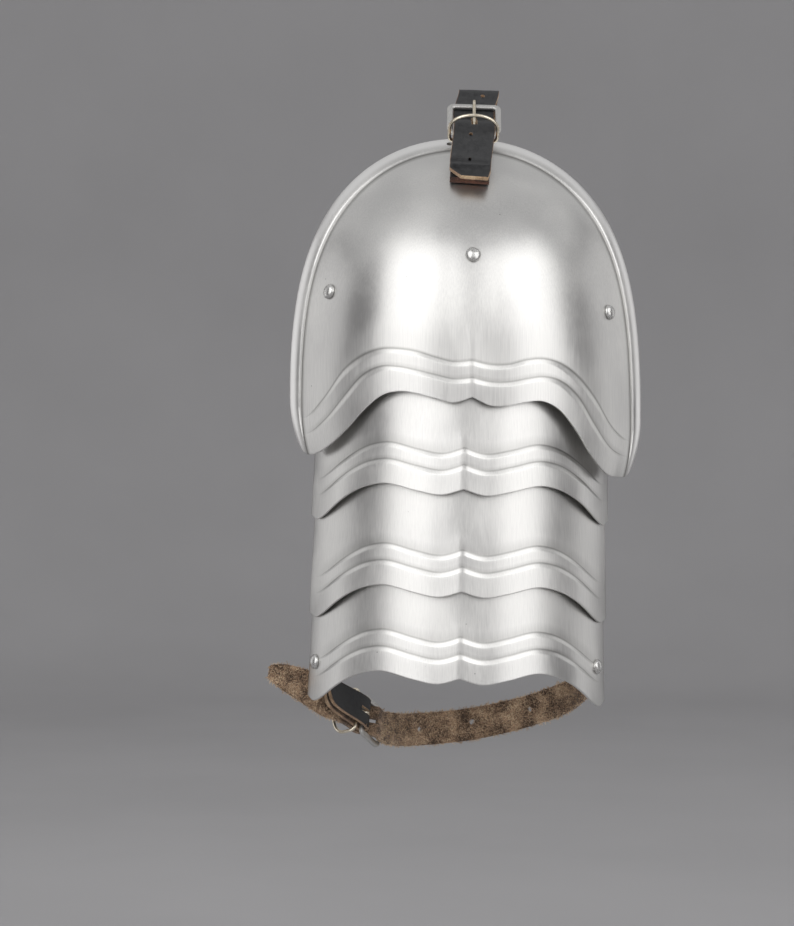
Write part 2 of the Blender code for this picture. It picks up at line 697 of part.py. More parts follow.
def add_keeper_ring(name, frame, length):
    """A D-shaped wire ring: a straight back, then a round front. Its matrix has the back along X."""
    points = []
    half_width = RING_WIDTH / 2
    corner = RING_CORNER
    for x_sign in (1, -1):
        for i in range(3):
            angle = math.pi / 2 * (i / 2)
            x = half_width - corner + corner * (math.sin(angle) if x_sign < 0 else math.cos(angle))
            y = corner - corner * (math.cos(angle) if x_sign < 0 else math.sin(angle))
            points.append((x_sign * x, y))
    arc_start = length * 0.5
    steps = 10
    for i in range(steps + 1):
        angle = math.pi - math.pi * i / steps
        points.append((half_width * math.cos(angle), arc_start + (length - arc_start) * math.sin(angle)))
    return add_wire(name, [frame @ Vector((x, y, 0.0)) for x, y in points], RING_WIRE, closed=True, sides=1)


def top_line(y, z):
    """A point on the top strap's plane, which leans as it comes down."""
    return Vector((TOP_STRAP_LEAN * z, y, z))


def on_plate(up, rise, half_width):
    """A station of the top strap's line that lies flat over or under the top of the shoulder plate."""
    level = PLATE_CUSP_Z + PLATE_SPRING_RISE + PLATE_ARCH_RISE * up
    across = (TOP_STRAP_LEAN * level - PLATE_CENTRE_X) / PLATE_HALF_WIDTH
    normal = outward_at(arch_point, across, up)
    side = Vector((1.0, 0.0, -TOP_STRAP_LEAN))
    side = (side - normal * side.dot(normal)).normalized()
    return arch_point(across, up) + normal * rise, side, half_width


def build_top_fastening():
    """The strap's loop with its buckle, chape and keeper ring, and the rivet that holds them."""
    half = TOP_STRAP_WIDTH / 2
    side = Vector((1.0, 0.0, -TOP_BUCKLE_LEAN)).normalized()
    leaning = Vector((1.0, 0.0, -TOP_STRAP_LEAN)).normalized()
    frame = frame_matrix(top_line(*TOP_HINGE_BAR), side, Vector((0.0, *TOP_BUCKLE_RISE)))
    bar = frame.translation
    way = frame.to_3x3() @ Vector((0.0, 1.0, 0.0))
    stack = 2 * GAP + CHAPE_THICKNESS + GAP / 2
    leaf = (CHAPE_THICKNESS + GAP) / 2
    fold = BAR_CORNER + 2 * GAP + CHAPE_THICKNESS / 2
    narrow = half - 2 * GAP
    path = [on_plate(CHAPE_RIVET + shift, stack, narrow) for shift in (-0.035, 0.0, 0.045)]
    foot = path[-1][0]
    face = frame.to_3x3() @ Vector((0.0, 0.0, GAP * 3))
    path += [(foot.lerp(bar, 0.35) + face, leaning, narrow), (bar - way * CHAPE_STRAIGHT, side, narrow),
             (bar, side, narrow)]
    chape = add_ribbon("top_buckle_chape", folded_stations(smooth_stations(path, 9), leaf, fold),
                       CHAPE_THICKNESS)
    head = stack + CHAPE_THICKNESS + GAP / 2 + FLUSH_RIVET_HEIGHT + TOP_STRAP_SAG + STRAP_THICKNESS / 2
    below = -STEEL - GAP - STRAP_THICKNESS / 2 - TOP_STRAP_SAG
    route = [on_plate(up, below, half) for up in (CHAPE_RIVET - 0.06, CHAPE_RIVET, 0.85, 0.90)]
    route += [(top_line(y, z), side, half) for y, z in TOP_LOOP_ROUTE]
    route += [(point, side, half) for point in through_buckle(frame, TOP_BUCKLE_LENGTH)]
    route += [(top_line(y, z), leaning, half) for y, z in TOP_FRONT_ROUTE]
    route += [on_plate(CHAPE_RIVET, head, half), on_plate(CHAPE_RIVET - 0.055, head, half)]
    stations = smooth_stations(route, 3 * (len(route) - 1))
    tip, tip_side, _ = stations[-1]
    stations[-1] = (tip + tip_side * half * 0.15, tip_side, half * TOP_TIP_SHARE)
    strap = add_ribbon("top_strap", stations, STRAP_THICKNESS)
    add_buckle("top_buckle", frame, TOP_STRAP_WIDTH, TOP_BUCKLE_LENGTH, chape, strap)
    seat = on_plate(CHAPE_RIVET, 0.0, half)[0]
    normal = (on_plate(CHAPE_RIVET, stack, half)[0] - seat).normalized()
    rise = stack + CHAPE_THICKNESS + GAP / 2
    grip = rise + STEEL + 3 * GAP + STRAP_THICKNESS + TOP_STRAP_SAG
    add_rivet("top_strap_rivet", seat + normal * rise, normal, FLUSH_RIVET_RADIUS, FLUSH_RIVET_HEIGHT, grip, 1)
    back = top_line(*TOP_RING_BACK)
    front = top_line(*TOP_RING_FRONT)
    add_keeper_ring("top_keeper_ring", frame_matrix(back, side, front - back), (front - back).length)
    within = seat - normal * DRILL_DEPTH / 8
    return {"shoulder_plate": (seat, normal), "chape": (chape, within, normal), "strap": (strap, within, normal)}


def in_lame(across, down, inset):
    """A place inside the lowest lame, with the inset from its outer face."""
    return lame_point(len(LAME_NAMES) - 1, across, down, inset=inset)


def build_arm_fastening():
    """The chape with its buckle and ring at the front, and the strap round from the back rivet."""
    half = ARM_STRAP_WIDTH / 2
    side = Vector(ARM_BAR_SIDE).normalized()
    frame = frame_matrix(Vector(ARM_HINGE_BAR), side, Vector(ARM_BUCKLE_WAY))
    bar = frame.translation
    face = frame.to_3x3() @ Vector((0.0, 0.0, 1.0))
    way = frame.to_3x3() @ Vector((0.0, 1.0, 0.0))
    stack = STEEL + GAP + CHAPE_THICKNESS + GAP / 2 + ARM_SAG
    leaf = (CHAPE_THICKNESS + GAP) / 2
    fold = BAR_CORNER + 2 * GAP + CHAPE_THICKNESS / 2
    across, down = ARM_RIVETS["front"]
    seat = in_lame(across, down, stack)
    level = (in_lame(across - 0.02, down, stack) - in_lame(across + 0.02, down, stack)).normalized()
    wall = level * math.cos(ARM_CHAPE_SLANT) + Vector((0.0, 0.0, math.sin(ARM_CHAPE_SLANT)))
    run = level * math.sin(ARM_CHAPE_SLANT) - Vector((0.0, 0.0, math.cos(ARM_CHAPE_SLANT)))
    narrow = half - 2 * GAP
    path = [(seat + run * step * half, wall, narrow) for step in (-0.75, 0.0, 0.75)]
    path += [(Vector(ARM_CHAPE_BEND), wall.lerp(side, 0.7), narrow), (bar - way * CHAPE_STRAIGHT, side, narrow),
             (bar, side, narrow)]
    chape = add_ribbon("arm_buckle_chape", folded_stations(smooth_stations(path, 10), leaf, fold),
                       CHAPE_THICKNESS)
    upright = Vector((0.0, 0.0, 1.0))
    inset = STEEL + 2 * GAP + STRAP_THICKNESS / 2
    across, down = ARM_RIVETS["back"]
    rising = (in_lame(across, down - 0.05, inset) - in_lame(across, down + 0.05, inset)).normalized()
    route = [(in_lame(a, down, inset), rising, half) for a in (across - 0.11, across, 1.0)]
    route += [(Vector(point), upright, half) for point in ARM_STRAP_ROUTE]
    route += [(point, side, half) for point in through_buckle(frame, ARM_BUCKLE_LENGTH)]
    route.append((frame @ Vector(ARM_END_BEND), side, half))
    end_side = Vector(ARM_END_SIDE).normalized()
    route += [(Vector(point), end_side, half * share) for point, share in ARM_END_ROUTE]
    strap = add_ribbon("arm_strap", smooth_stations(route, 2 * (len(route) - 1)), STRAP_THICKNESS)
    add_buckle("arm_buckle", frame, ARM_STRAP_WIDTH, ARM_BUCKLE_LENGTH, chape, strap)
    add_keeper_ring("arm_keeper_ring", frame_matrix(bar - way * ARM_RING_PLACE, side, face), ARM_RING_LENGTH)
    seats = {}
    held = (("front", chape, 2 * CHAPE_THICKNESS + GAP + ARM_SAG), ("back", strap, STRAP_THICKNESS))
    for name, piece, thickness in held:
        across, down = ARM_RIVETS[name]
        normal = outward_at(lambda a, d: in_lame(a, d, 0.0), across, down)
        centre = in_lame(across, down, 0.0)
        add_rivet("arm_rivet_" + name, centre, normal, DOME_RIVET_RADIUS, DOME_RIVET_HEIGHT,
                  STEEL + thickness + 4 * GAP)
        seats[name] = (piece, centre, normal)
    return seats


def main():
    for old in list(bpy.data.objects):
        bpy.data.objects.remove(old)
    bpy.context.scene.collection.children.link(parts)
    bpy.context.scene.collection.children.link(cutters)
    plates = {"shoulder_plate": build_shoulder_plate()}
    for index, name in enumerate(LAME_NAMES):
        plates[name] = build_lame(index)
    hangers = {place: build_hanger(place) for place in SHOULDER_RIVETS}
    holes = {name: [] for name in plates}
    for name, (plate, centre, normal) in rivet_seats().items():
        place = name.rsplit("_", 1)[1]
        on_shoulder = plate == "shoulder_plate"
        radius = DOME_RIVET_RADIUS if on_shoulder else FLUSH_RIVET_RADIUS
        height = DOME_RIVET_HEIGHT if on_shoulder else FLUSH_RIVET_HEIGHT
        grip = STEEL + HANGER_THICKNESS + 2 * GAP + (RIDGE_RISE + GAP if place == "centre" else 0.0)
        add_rivet(name, centre, normal, radius, height, grip, 3 if on_shoulder else 1)
        holes[plate].append((centre, normal))
        holes.setdefault(place, []).append((centre, normal))
    arm = build_arm_fastening()
    for piece, centre, normal in arm.values():
        drill(piece, [(centre, normal)])
        holes["lower_lame"].append((centre, normal))
    top = build_top_fastening()
    holes["shoulder_plate"].append(top["shoulder_plate"])
    holes["shoulder_plate"].append((arch_point(*RIM_HOLE), outward_at(arch_point, *RIM_HOLE)))
    for piece, centre, normal in (top["chape"], top["strap"]):
        drill(piece, [(centre, normal)])
    for name, plate in plates.items():
        drill(plate, holes[name])
    for place, hanger in hangers.items():
        drill(hanger, holes[place])


main()
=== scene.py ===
"""The left pauldron's looks: steel plates, rivets, leathers and buckles, each where the part has it.

X runs from the wearer's front to the back, Y from the outer face towards the neck, and Z up. The origin is
the middle of the top strap's loop. Sizes are in metres, and colours are sRGB hex values.
"""

import logging
import math
import random
from dataclasses import dataclass, field
from enum import Enum
from typing import Any, Callable, Dict, List, Optional, Sequence, Tuple

import bmesh
import bpy
from bmesh.types import BMesh, BMVert
from bpy.types import Material, Node, NodeSocket, NodeTree, Object
from mathutils import Matrix, Vector, noise


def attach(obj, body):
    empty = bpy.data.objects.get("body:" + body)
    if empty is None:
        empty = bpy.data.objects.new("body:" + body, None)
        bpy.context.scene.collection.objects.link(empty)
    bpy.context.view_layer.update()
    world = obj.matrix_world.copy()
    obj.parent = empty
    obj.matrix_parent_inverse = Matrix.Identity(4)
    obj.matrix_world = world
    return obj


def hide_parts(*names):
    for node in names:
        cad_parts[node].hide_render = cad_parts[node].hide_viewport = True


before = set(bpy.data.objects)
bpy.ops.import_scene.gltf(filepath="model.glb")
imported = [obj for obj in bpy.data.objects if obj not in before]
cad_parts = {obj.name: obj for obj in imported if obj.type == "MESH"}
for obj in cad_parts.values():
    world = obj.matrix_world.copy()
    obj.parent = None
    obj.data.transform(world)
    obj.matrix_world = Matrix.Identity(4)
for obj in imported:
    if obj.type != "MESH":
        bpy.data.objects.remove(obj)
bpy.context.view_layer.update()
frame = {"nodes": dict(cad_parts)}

LOG = logging.getLogger("pauldron")
UP = Vector((0.0, 0.0, 1.0))
MILLIMETRE = 0.001

# Sheet, leather and clearances, as in the part
STEEL = 0.0012
GAP = 0.0003
HANGER_THICKNESS = 0.0020
STRAP_THICKNESS = 0.0024
CHAPE_THICKNESS = 0.0018

# The middle cusp of the shoulder plate and the steps down from it to each lame's cusp
PLATE_CUSP_Z = -0.1733
LAME_PITCHES = (0.0509, 0.0564, 0.0480)
LAME_NAMES = ("upper_lame", "middle_lame", "lower_lame")

# Lower edge and flutes of the shoulder plate, as shares of its half width and of its spring rise
EDGE_COLUMNS = ("across", "front_edge", "back_edge", "lower_flute_above", "upper_flute_above")
PLATE_EDGE_ROWS = (
    (0.00, 0.00, 0.00, 0.48, 0.89),
    (0.10, -0.13, -0.20, 0.58, 0.99),
    (0.20, -0.03, -0.20, 0.58, 1.00),
    (0.30, 0.09, -0.11, 0.57, 1.02),
    (0.40, 0.15, -0.09, 0.60, 1.03),
    (0.50, 0.06, -0.30, 0.70, 1.12),
    (0.60, -0.27, -0.78, 0.82, 1.29),
    (0.70, -0.72, -1.39, 0.79, 1.40),
    (0.80, -1.11, -1.82, 0.66, 1.18),
    (0.90, -1.34, -1.91, 0.54, 0.94),
    (0.96, -1.28, -1.84, 0.50, 0.86),
    (1.00, -1.02, -1.58, 0.44, 0.76),
)
# The same for a lame, as shares of its half width and of its height, with both flutes level along the edge
LAME_EDGE = ((0.00, 0.000), (0.14, -0.045), (0.30, -0.014), (0.48, 0.034), (0.60, 0.015), (0.70, -0.038),
             (0.80, -0.122), (0.90, -0.220), (0.96, -0.261), (1.00, -0.230))
LAME_EDGE_ROWS = tuple((across, edge, edge, 0.190, 0.315) for across, edge in LAME_EDGE)

# A sheet's rows from its top down: how many above the flutes, then shares of a flute's slope, of the flat
# between the flutes, and of the way from the lower flute to the edge
TOP_ROWS = 9
ROW_SHARES = (-0.16, -0.08, 0.0, 0.08, 0.16, 0.36, 0.5, 0.64, 0.84, 0.92, 1.0, 1.08, 1.16)
FLAT_SHARES = (0.33, 0.67)
EDGE_SHARES = (0.25, 0.5, 0.75, 0.93, 1.0)

# How high the crease down the middle of each plate stands
CREASE_RISE = 0.0010

# A leather's material slots: the side that its route shows, the far side, and the cut edges
OWN, FAR, CUT = 0, 1, 2

Station = Tuple[Vector, Vector, float]
Placed = Tuple[BMVert, int, int]


class LeatherFace(Enum):
    """Which face of a leather its route's own side shows."""

    FLESH = "flesh"
    GRAIN = "grain"


class HeadShape(Enum):
    """How a rivet's head is set, with its radius and its height."""

    DOMED = (0.0044, 0.0028)
    FLUSH = (0.0035, 0.0005)


def smooth_step(low: float, high: float, value: float) -> float:
    """Rises smoothly between two values.

    Args:
        low: where the rise starts.
        high: where it ends.
        value: the value to place between them.

    Returns:
        0 below low, 1 above high, and a smooth rise between them.
    """
    share = min(1.0, max(0.0, (value - low) / (high - low)))
    return share * share * (3.0 - 2.0 * share)


def linear(hex_colour: str) -> Tuple[float, float, float, float]:
    """Turns an sRGB hex colour to linear.

    Args:
        hex_colour: such as "#c8c8c6".

    Returns:
        Red, green, blue and an alpha of 1.
    """
    channels = []
    for start in (1, 3, 5):
        value = int(hex_colour[start:start + 2], 16) / 255.0
        channels.append(value / 12.92 if value <= 0.04045 else ((value + 0.055) / 1.055) ** 2.4)
    return channels[0], channels[1], channels[2], 1.0


def add_node(tree: NodeTree, kind: str, sockets: Optional[Dict[Any, Any]] = None,
             stops: Sequence[Tuple[float, str]] = (), **settings: Any) -> Node:
    """Adds a node with its settings and links.

    Args:
        tree: the material's node tree.
        kind: the node's type.
        sockets: for each input's name or number, a value or the output that feeds it.
        stops: a ramp's positions with their hex colours.
        settings: the node's own settings.

    Returns:
        The new node.
    """
    node = tree.nodes.new(kind)
    for name, value in settings.items():
        setattr(node, name, value)
    for name, value in (sockets or {}).items():
        if isinstance(value, NodeSocket):
            tree.links.new(value, node.inputs[name])
        else:
            node.inputs[name].default_value = value
    for number, (position, colour) in enumerate(stops):
        elements = node.color_ramp.elements
        element = elements[number] if number < len(elements) else elements.new(position)
        element.position = position
        element.color = linear(colour)
    return node


def new_surface(name: str, **uniform: Any) -> Tuple[Material, NodeTree, Node, NodeSocket]:
    """Starts a material with its shader's uniform values and its Object coordinates.

    Args:
        name: the material's name.
        uniform: values of the shader's sockets, with spaces as underscores.

    Returns:
        The material, its tree, its shader and the Object coordinates.
    """
    material = bpy.data.materials.new(name)
    material.use_nodes = True
    tree = material.node_tree
    shader = tree.nodes["Principled BSDF"]
    for socket, value in uniform.items():
        shader.inputs[socket.replace("_", " ")].default_value = value
    place = add_node(tree, "ShaderNodeTexCoord").outputs["Object"]
    return material, tree, shader, place


@dataclass(frozen=True)
class SatinSteel:
    """Cold rolled mild steel, satin polished up and down: long soft highlights with hair-fine streaks."""

    name: str = "satin_steel"
    bright: str = "#e3e2df"
    dull: str = "#cac9c7"
    # Painted highlight for the bead's outer half
    bead_highlight_colour: str = "#f6f5f3"
    fleck: str = "#6d6a66"
    # Painted shade for the grooves: the bead's foot and the flutes' creases
    groove_shade: str = "#55534f"
    roughness: Tuple[float, float] = (0.28, 0.43)
    # Real streaks are about 0.1 mm wide, too fine to show, so they are drawn coarser
    streak_width: float = 0.55 * MILLIMETRE
    streak_stretch: float = 0.03
    sheet_wave: float = 34.0 * MILLIMETRE
    scratch_width: float = 0.35 * MILLIMETRE
    fleck_spacing: float = 15.0 * MILLIMETRE

    def build(self) -> Material:
        """Builds the material: streaks, waves, scratches, rare flecks, painted shade in the grooves, and a
        painted highlight on the bead's outer half.

        Returns:
            The material.
        """
        material, tree, shader, place = new_surface(self.name, Metallic=1.0)
        stretched = add_node(tree, "ShaderNodeMapping",
                             {"Vector": place, "Scale": (1.0, 1.0, self.streak_stretch)})
        streaks = add_node(tree, "ShaderNodeTexNoise", {
            "Vector": stretched.outputs["Vector"], "Scale": 1.0 / self.streak_width, "Detail": 5.0,
            "Roughness": 0.62})
        cloud = add_node(tree, "ShaderNodeTexNoise", {
            "Vector": place, "Scale": 1.0 / self.sheet_wave, "Detail": 1.5, "Roughness": 0.4})
        sheen = add_node(tree, "ShaderNodeMath", {0: streaks.outputs["Fac"], 1: cloud.outputs["Fac"]},
                         operation="ADD")
        gloss = add_node(tree, "ShaderNodeMapRange", {
            "Value": sheen.outputs["Value"], "From Min": 0.7, "From Max": 1.3,
            "To Min": self.roughness[0], "To Max": self.roughness[1]})
        slanted = add_node(tree, "ShaderNodeMapping", {
            "Vector": place, "Rotation": (0.5, 0.9, 0.3), "Scale": (1.0, 1.0, 0.012)})
        scratches = add_node(tree, "ShaderNodeTexNoise", {
            "Vector": slanted.outputs["Vector"], "Scale": 1.0 / self.scratch_width, "Detail": 1.0})
        scored = add_node(tree, "ShaderNodeMapRange", {
            "Value": scratches.outputs["Fac"], "From Min": 0.70, "From Max": 0.76, "To Min": 0.0,
            "To Max": 1.0})
        rough = add_node(tree, "ShaderNodeMath", {
            0: scored.outputs["Result"], 1: 0.10, 2: gloss.outputs["Result"]}, operation="MULTIPLY_ADD")
        tree.links.new(rough.outputs["Value"], shader.inputs["Roughness"])
        cells = add_node(tree, "ShaderNodeTexVoronoi", {"Vector": place, "Scale": 1.0 / self.fleck_spacing})
        spot = add_node(tree, "ShaderNodeMapRange", {
            "Value": cells.outputs["Distance"], "From Min": 0.016, "From Max": 0.030, "To Min": 0.7,
            "To Max": 0.0})
        mottle = add_node(tree, "ShaderNodeMath", {0: sheen.outputs["Value"], 1: 0.5}, operation="MULTIPLY")
        tone = add_node(tree, "ShaderNodeValToRGB", {"Fac": mottle.outputs["Value"]},
                        stops=((0.36, self.dull), (0.64, self.bright)))
        flecked = add_node(tree, "ShaderNodeMix", {
            0: spot.outputs["Result"], 6: tone.outputs["Color"], 7: linear(self.fleck)}, data_type="RGBA")
        # Painted shade darkens the grooves
        groove = add_node(tree, "ShaderNodeAttribute", attribute_name="groove")
        groove_shaded = add_node(tree, "ShaderNodeMix", {
            0: groove.outputs["Fac"], 6: flecked.outputs[2], 7: linear(self.groove_shade)}, data_type="RGBA")
        # A painted highlight brightens the bead's outer half
        polish = add_node(tree, "ShaderNodeAttribute", attribute_name="polish")
        highlighted = add_node(tree, "ShaderNodeMix", {
            0: polish.outputs["Fac"], 6: groove_shaded.outputs[2], 7: linear(self.bead_highlight_colour)}, data_type="RGBA")
        tree.links.new(highlighted.outputs[2], shader.inputs["Base Color"])
        waved = add_node(tree, "ShaderNodeBump", {
            "Height": cloud.outputs["Fac"], "Strength": 1.0, "Distance": 0.45 * MILLIMETRE})
        brushed = add_node(tree, "ShaderNodeBump", {
            "Height": streaks.outputs["Fac"], "Strength": 1.0, "Distance": 0.011 * MILLIMETRE,
            "Normal": waved.outputs["Normal"]})
        cut = add_node(tree, "ShaderNodeBump", {
            "Height": scored.outputs["Result"], "Strength": 1.0, "Distance": 0.006 * MILLIMETRE,
            "Normal": brushed.outputs["Normal"]}, invert=True)
        tree.links.new(cut.outputs["Normal"], shader.inputs["Normal"])
        return material


@dataclass(frozen=True)
class HammeredSteel:
    """Peened and polished steel rivet heads: brighter than the sheet, with small flats from the hammer."""

    name: str = "hammered_rivet_steel"
    bright: str = "#dcdcda"
    dull: str = "#b4b2ae"
    flat_width: float = 2.6 * MILLIMETRE
    grain_width: float = 0.5 * MILLIMETRE

    def build(self) -> Material:
        """Builds the material: hammer flats as bump, and a fine grain that varies gloss and tone.

        Returns:
            The material.
        """
        material, tree, shader, place = new_surface(self.name, Metallic=1.0)
        flats = add_node(tree, "ShaderNodeTexVoronoi", {"Vector": place, "Scale": 1.0 / self.flat_width},
                         feature="SMOOTH_F1")
        grain = add_node(tree, "ShaderNodeTexNoise", {
            "Vector": place, "Scale": 1.0 / self.grain_width, "Detail": 4.0})
        tone = add_node(tree, "ShaderNodeValToRGB", {"Fac": grain.outputs["Fac"]},
                        stops=((0.32, self.dull), (0.6, self.bright)))
        tree.links.new(tone.outputs["Color"], shader.inputs["Base Color"])
        gloss = add_node(tree, "ShaderNodeMapRange", {
            "Value": grain.outputs["Fac"], "From Min": 0.3, "From Max": 0.7, "To Min": 0.20, "To Max": 0.34})
        tree.links.new(gloss.outputs["Result"], shader.inputs["Roughness"])
        peened = add_node(tree, "ShaderNodeBump", {
            "Height": flats.outputs["Distance"], "Strength": 0.8, "Distance": 0.22 * MILLIMETRE})
        fine = add_node(tree, "ShaderNodeBump", {
            "Height": grain.outputs["Fac"], "Strength": 1.0, "Distance": 0.015 * MILLIMETRE,
            "Normal": peened.outputs["Normal"]})
        tree.links.new(fine.outputs["Normal"], shader.inputs["Normal"])
        return material


@dataclass(frozen=True)
class NickelPlate:
    """Nickel plate over brass or cast zinc: slightly warm, bright on drawn wire and duller on castings."""

    name: str
    bright: str
    dull: str
    roughness: Tuple[float, float]
    pit_width: float
    pit_depth: float

    def build(self) -> Material:
        """Builds the material: fine pits for tone, gloss and bump.

        Returns:
            The material.
        """
        material, tree, shader, place = new_surface(self.name, Metallic=1.0)
        pits = add_node(tree, "ShaderNodeTexNoise", {
            "Vector": place, "Scale": 1.0 / self.pit_width, "Detail": 5.0, "Roughness": 0.6})
        tone = add_node(tree, "ShaderNodeValToRGB", {"Fac": pits.outputs["Fac"]},
                        stops=((0.33, self.dull), (0.62, self.bright)))
        tree.links.new(tone.outputs["Color"], shader.inputs["Base Color"])
        gloss = add_node(tree, "ShaderNodeMapRange", {
            "Value": pits.outputs["Fac"], "From Min": 0.3, "From Max": 0.7,
            "To Min": self.roughness[1], "To Max": self.roughness[0]})
        tree.links.new(gloss.outputs["Result"], shader.inputs["Roughness"])
        pitted = add_node(tree, "ShaderNodeBump", {
            "Height": pits.outputs["Fac"], "Strength": 1.0, "Distance": self.pit_depth})
        tree.links.new(pitted.outputs["Normal"], shader.inputs["Normal"])
        return material


@dataclass(frozen=True)
class BlackGrainLeather:
    """Vegetable tanned cowhide, dyed black on the grain: low waxy gloss, pores, creases, worn borders."""

    name: str = "black_grain_leather"
    black: str = "#121315"
    faded: str = "#353536"
    worn: str = "#5a4336"
    pore_width: float = 0.9 * MILLIMETRE
    crease_width: float = 2.8 * MILLIMETRE

    def build(self) -> Material:
        """Builds the material: pores and creases as bump, faded patches, and brown at worn borders.

        Returns:
            The material.
        """
        material, tree, shader, place = new_surface(self.name, IOR=1.5)
        pores = add_node(tree, "ShaderNodeTexVoronoi", {"Vector": place, "Scale": 1.0 / self.pore_width})
        creases = add_node(tree, "ShaderNodeTexNoise", {
            "Vector": place, "Scale": 1.0 / self.crease_width, "Detail": 6.0, "Roughness": 0.65,
            "Distortion": 0.6})
        tone = add_node(tree, "ShaderNodeValToRGB", {"Fac": creases.outputs["Fac"]},
                        stops=((0.35, self.black), (0.75, self.faded)))
        border = add_node(tree, "ShaderNodeAttribute", attribute_name="border")
        frayed = add_node(tree, "ShaderNodeMath", {
            0: creases.outputs["Fac"], 1: 0.16, 2: border.outputs["Fac"]}, operation="MULTIPLY_ADD")
        rubbed_and_highlit = add_node(tree, "ShaderNodeMapRange", {
            "Value": frayed.outputs["Value"], "From Min": 1.02, "From Max": 1.10, "To Min": 0.0,
            "To Max": 0.75})
        worn = add_node(tree, "ShaderNodeMix", {
            0: rubbed_and_highlit.outputs["Result"], 6: tone.outputs["Color"], 7: linear(self.worn)}, data_type="RGBA")
        tree.links.new(worn.outputs[2], shader.inputs["Base Color"])
        gloss = add_node(tree, "ShaderNodeMapRange", {
            "Value": creases.outputs["Fac"], "From Min": 0.3, "From Max": 0.7, "To Min": 0.36,
            "To Max": 0.66})
        tree.links.new(gloss.outputs["Result"], shader.inputs["Roughness"])
        creased = add_node(tree, "ShaderNodeBump", {
            "Height": creases.outputs["Fac"], "Strength": 1.0, "Distance": 0.34 * MILLIMETRE})
        pored = add_node(tree, "ShaderNodeBump", {
            "Height": pores.outputs["Distance"], "Strength": 0.7, "Distance": 0.06 * MILLIMETRE,
            "Normal": creased.outputs["Normal"]})
        tree.links.new(pored.outputs["Normal"], shader.inputs["Normal"])
        return material


@dataclass(frozen=True)
class RawLeather:
    """Undyed leather fibre, as a flesh side or a knife-cut edge: matt, matted fibres in several browns."""

    name: str
    dark: str
    middle: str
    light: str
    fibre_width: float = 1.2 * MILLIMETRE
    fibre_height: float = 0.40 * MILLIMETRE
    patch_width: float = 9.0 * MILLIMETRE

    def build(self) -> Material:
        """Builds the material: curled fibres in three browns with darker patches, and a deep matt bump.

        Returns:
            The material.
        """
        material, tree, shader, place = new_surface(
            self.name, Roughness=0.9, Specular_IOR_Level=0.25, Sheen_Weight=0.25, Sheen_Roughness=0.6)
        fibres = add_node(tree, "ShaderNodeTexNoise", {
            "Vector": place, "Scale": 1.0 / self.fibre_width, "Detail": 5.0, "Roughness": 0.7,
            "Distortion": 2.2})
        patches = add_node(tree, "ShaderNodeTexNoise", {
            "Vector": place, "Scale": 1.0 / self.patch_width, "Detail": 3.0})
        mixed = add_node(tree, "ShaderNodeMath", {
            0: patches.outputs["Fac"], 1: 0.42, 2: fibres.outputs["Fac"]}, operation="MULTIPLY_ADD")
        tone = add_node(tree, "ShaderNodeValToRGB", {"Fac": mixed.outputs["Value"]},
                        stops=((0.60, self.dark), (0.82, self.light), (0.71, self.middle)))
        tree.links.new(tone.outputs["Color"], shader.inputs["Base Color"])
        matted = add_node(tree, "ShaderNodeBump", {
            "Height": fibres.outputs["Fac"], "Strength": 1.0, "Distance": self.fibre_height})
        tree.links.new(matted.outputs["Normal"], shader.inputs["Normal"])
        return material


@dataclass
class Finishes:
    """Every material of the pauldron, built once."""

    steel: Material = field(default_factory=lambda: SatinSteel().build())
    rivet: Material = field(default_factory=lambda: HammeredSteel().build())
    wire: Material = field(default_factory=lambda: NickelPlate(
        "drawn_nickel_wire", "#eee6d6", "#ccbfa6", (0.16, 0.28), 0.9 * MILLIMETRE, 0.02 * MILLIMETRE).build())
    casting: Material = field(default_factory=lambda: NickelPlate(
        "cast_nickel_frame", "#cfcecb", "#b0afac", (0.40, 0.52), 0.6 * MILLIMETRE, 0.05 * MILLIMETRE).build())
    grain: Material = field(default_factory=lambda: BlackGrainLeather().build())
    flesh: Material = field(default_factory=lambda: RawLeather(
        "brown_flesh_side", "#241a13", "#785f4a", "#c4a688").build())
    fibre: Material = field(default_factory=lambda: RawLeather(
        "loose_fibre", "#8a6e54", "#c4a788", "#f0dcbc", 1.3 * MILLIMETRE).build())
    red_edge: Material = field(default_factory=lambda: RawLeather(
        "red_brown_cut_edge", "#1c0e0a", "#4c2a1c", "#8c5a45", 0.5 * MILLIMETRE).build())
    tan_edge: Material = field(default_factory=lambda: RawLeather(
        "tan_cut_edge", "#5c402f", "#ae8a66", "#e2c8a4", 0.5 * MILLIMETRE).build())


def add_grid(bm: BMesh, columns: int, rows: int, place: Callable[[int, int], Vector]) -> List[Placed]:
    """Adds a grid whose corners are put where place says.

    Args:
        bm: the mesh to add to.
        columns: how many cells across.
        rows: how many cells along.
        place: gives the point of a column and row number.

    Returns:
        Each vertex with its column and its row.
    """
    made = bmesh.ops.create_grid(bm, x_segments=columns, y_segments=rows, size=1.0)
    placed = []
    for vertex in made["verts"]:
        column = round((vertex.co.x + 1.0) / 2.0 * columns)
        row = round((vertex.co.y + 1.0) / 2.0 * rows)
        placed.append((vertex, column, row))
    for vertex, column, row in placed:
        vertex.co = place(column, row)
    return placed


def face_outwards(bm: BMesh, outward: Callable[[Vector], Vector]) -> None:
    """Turns every face of an open sheet to one side.

    Args:
        bm: the sheet.
        outward: gives the outward way at a point.
    """
    bmesh.ops.remove_doubles(bm, verts=bm.verts, dist=1e-6)
    bmesh.ops.recalc_face_normals(bm, faces=bm.faces)
    bm.faces.ensure_lookup_table()
    face = bm.faces[0]
    if face.normal.dot(outward(face.calc_center_median())) < 0:
        bmesh.ops.reverse_faces(bm, faces=bm.faces)


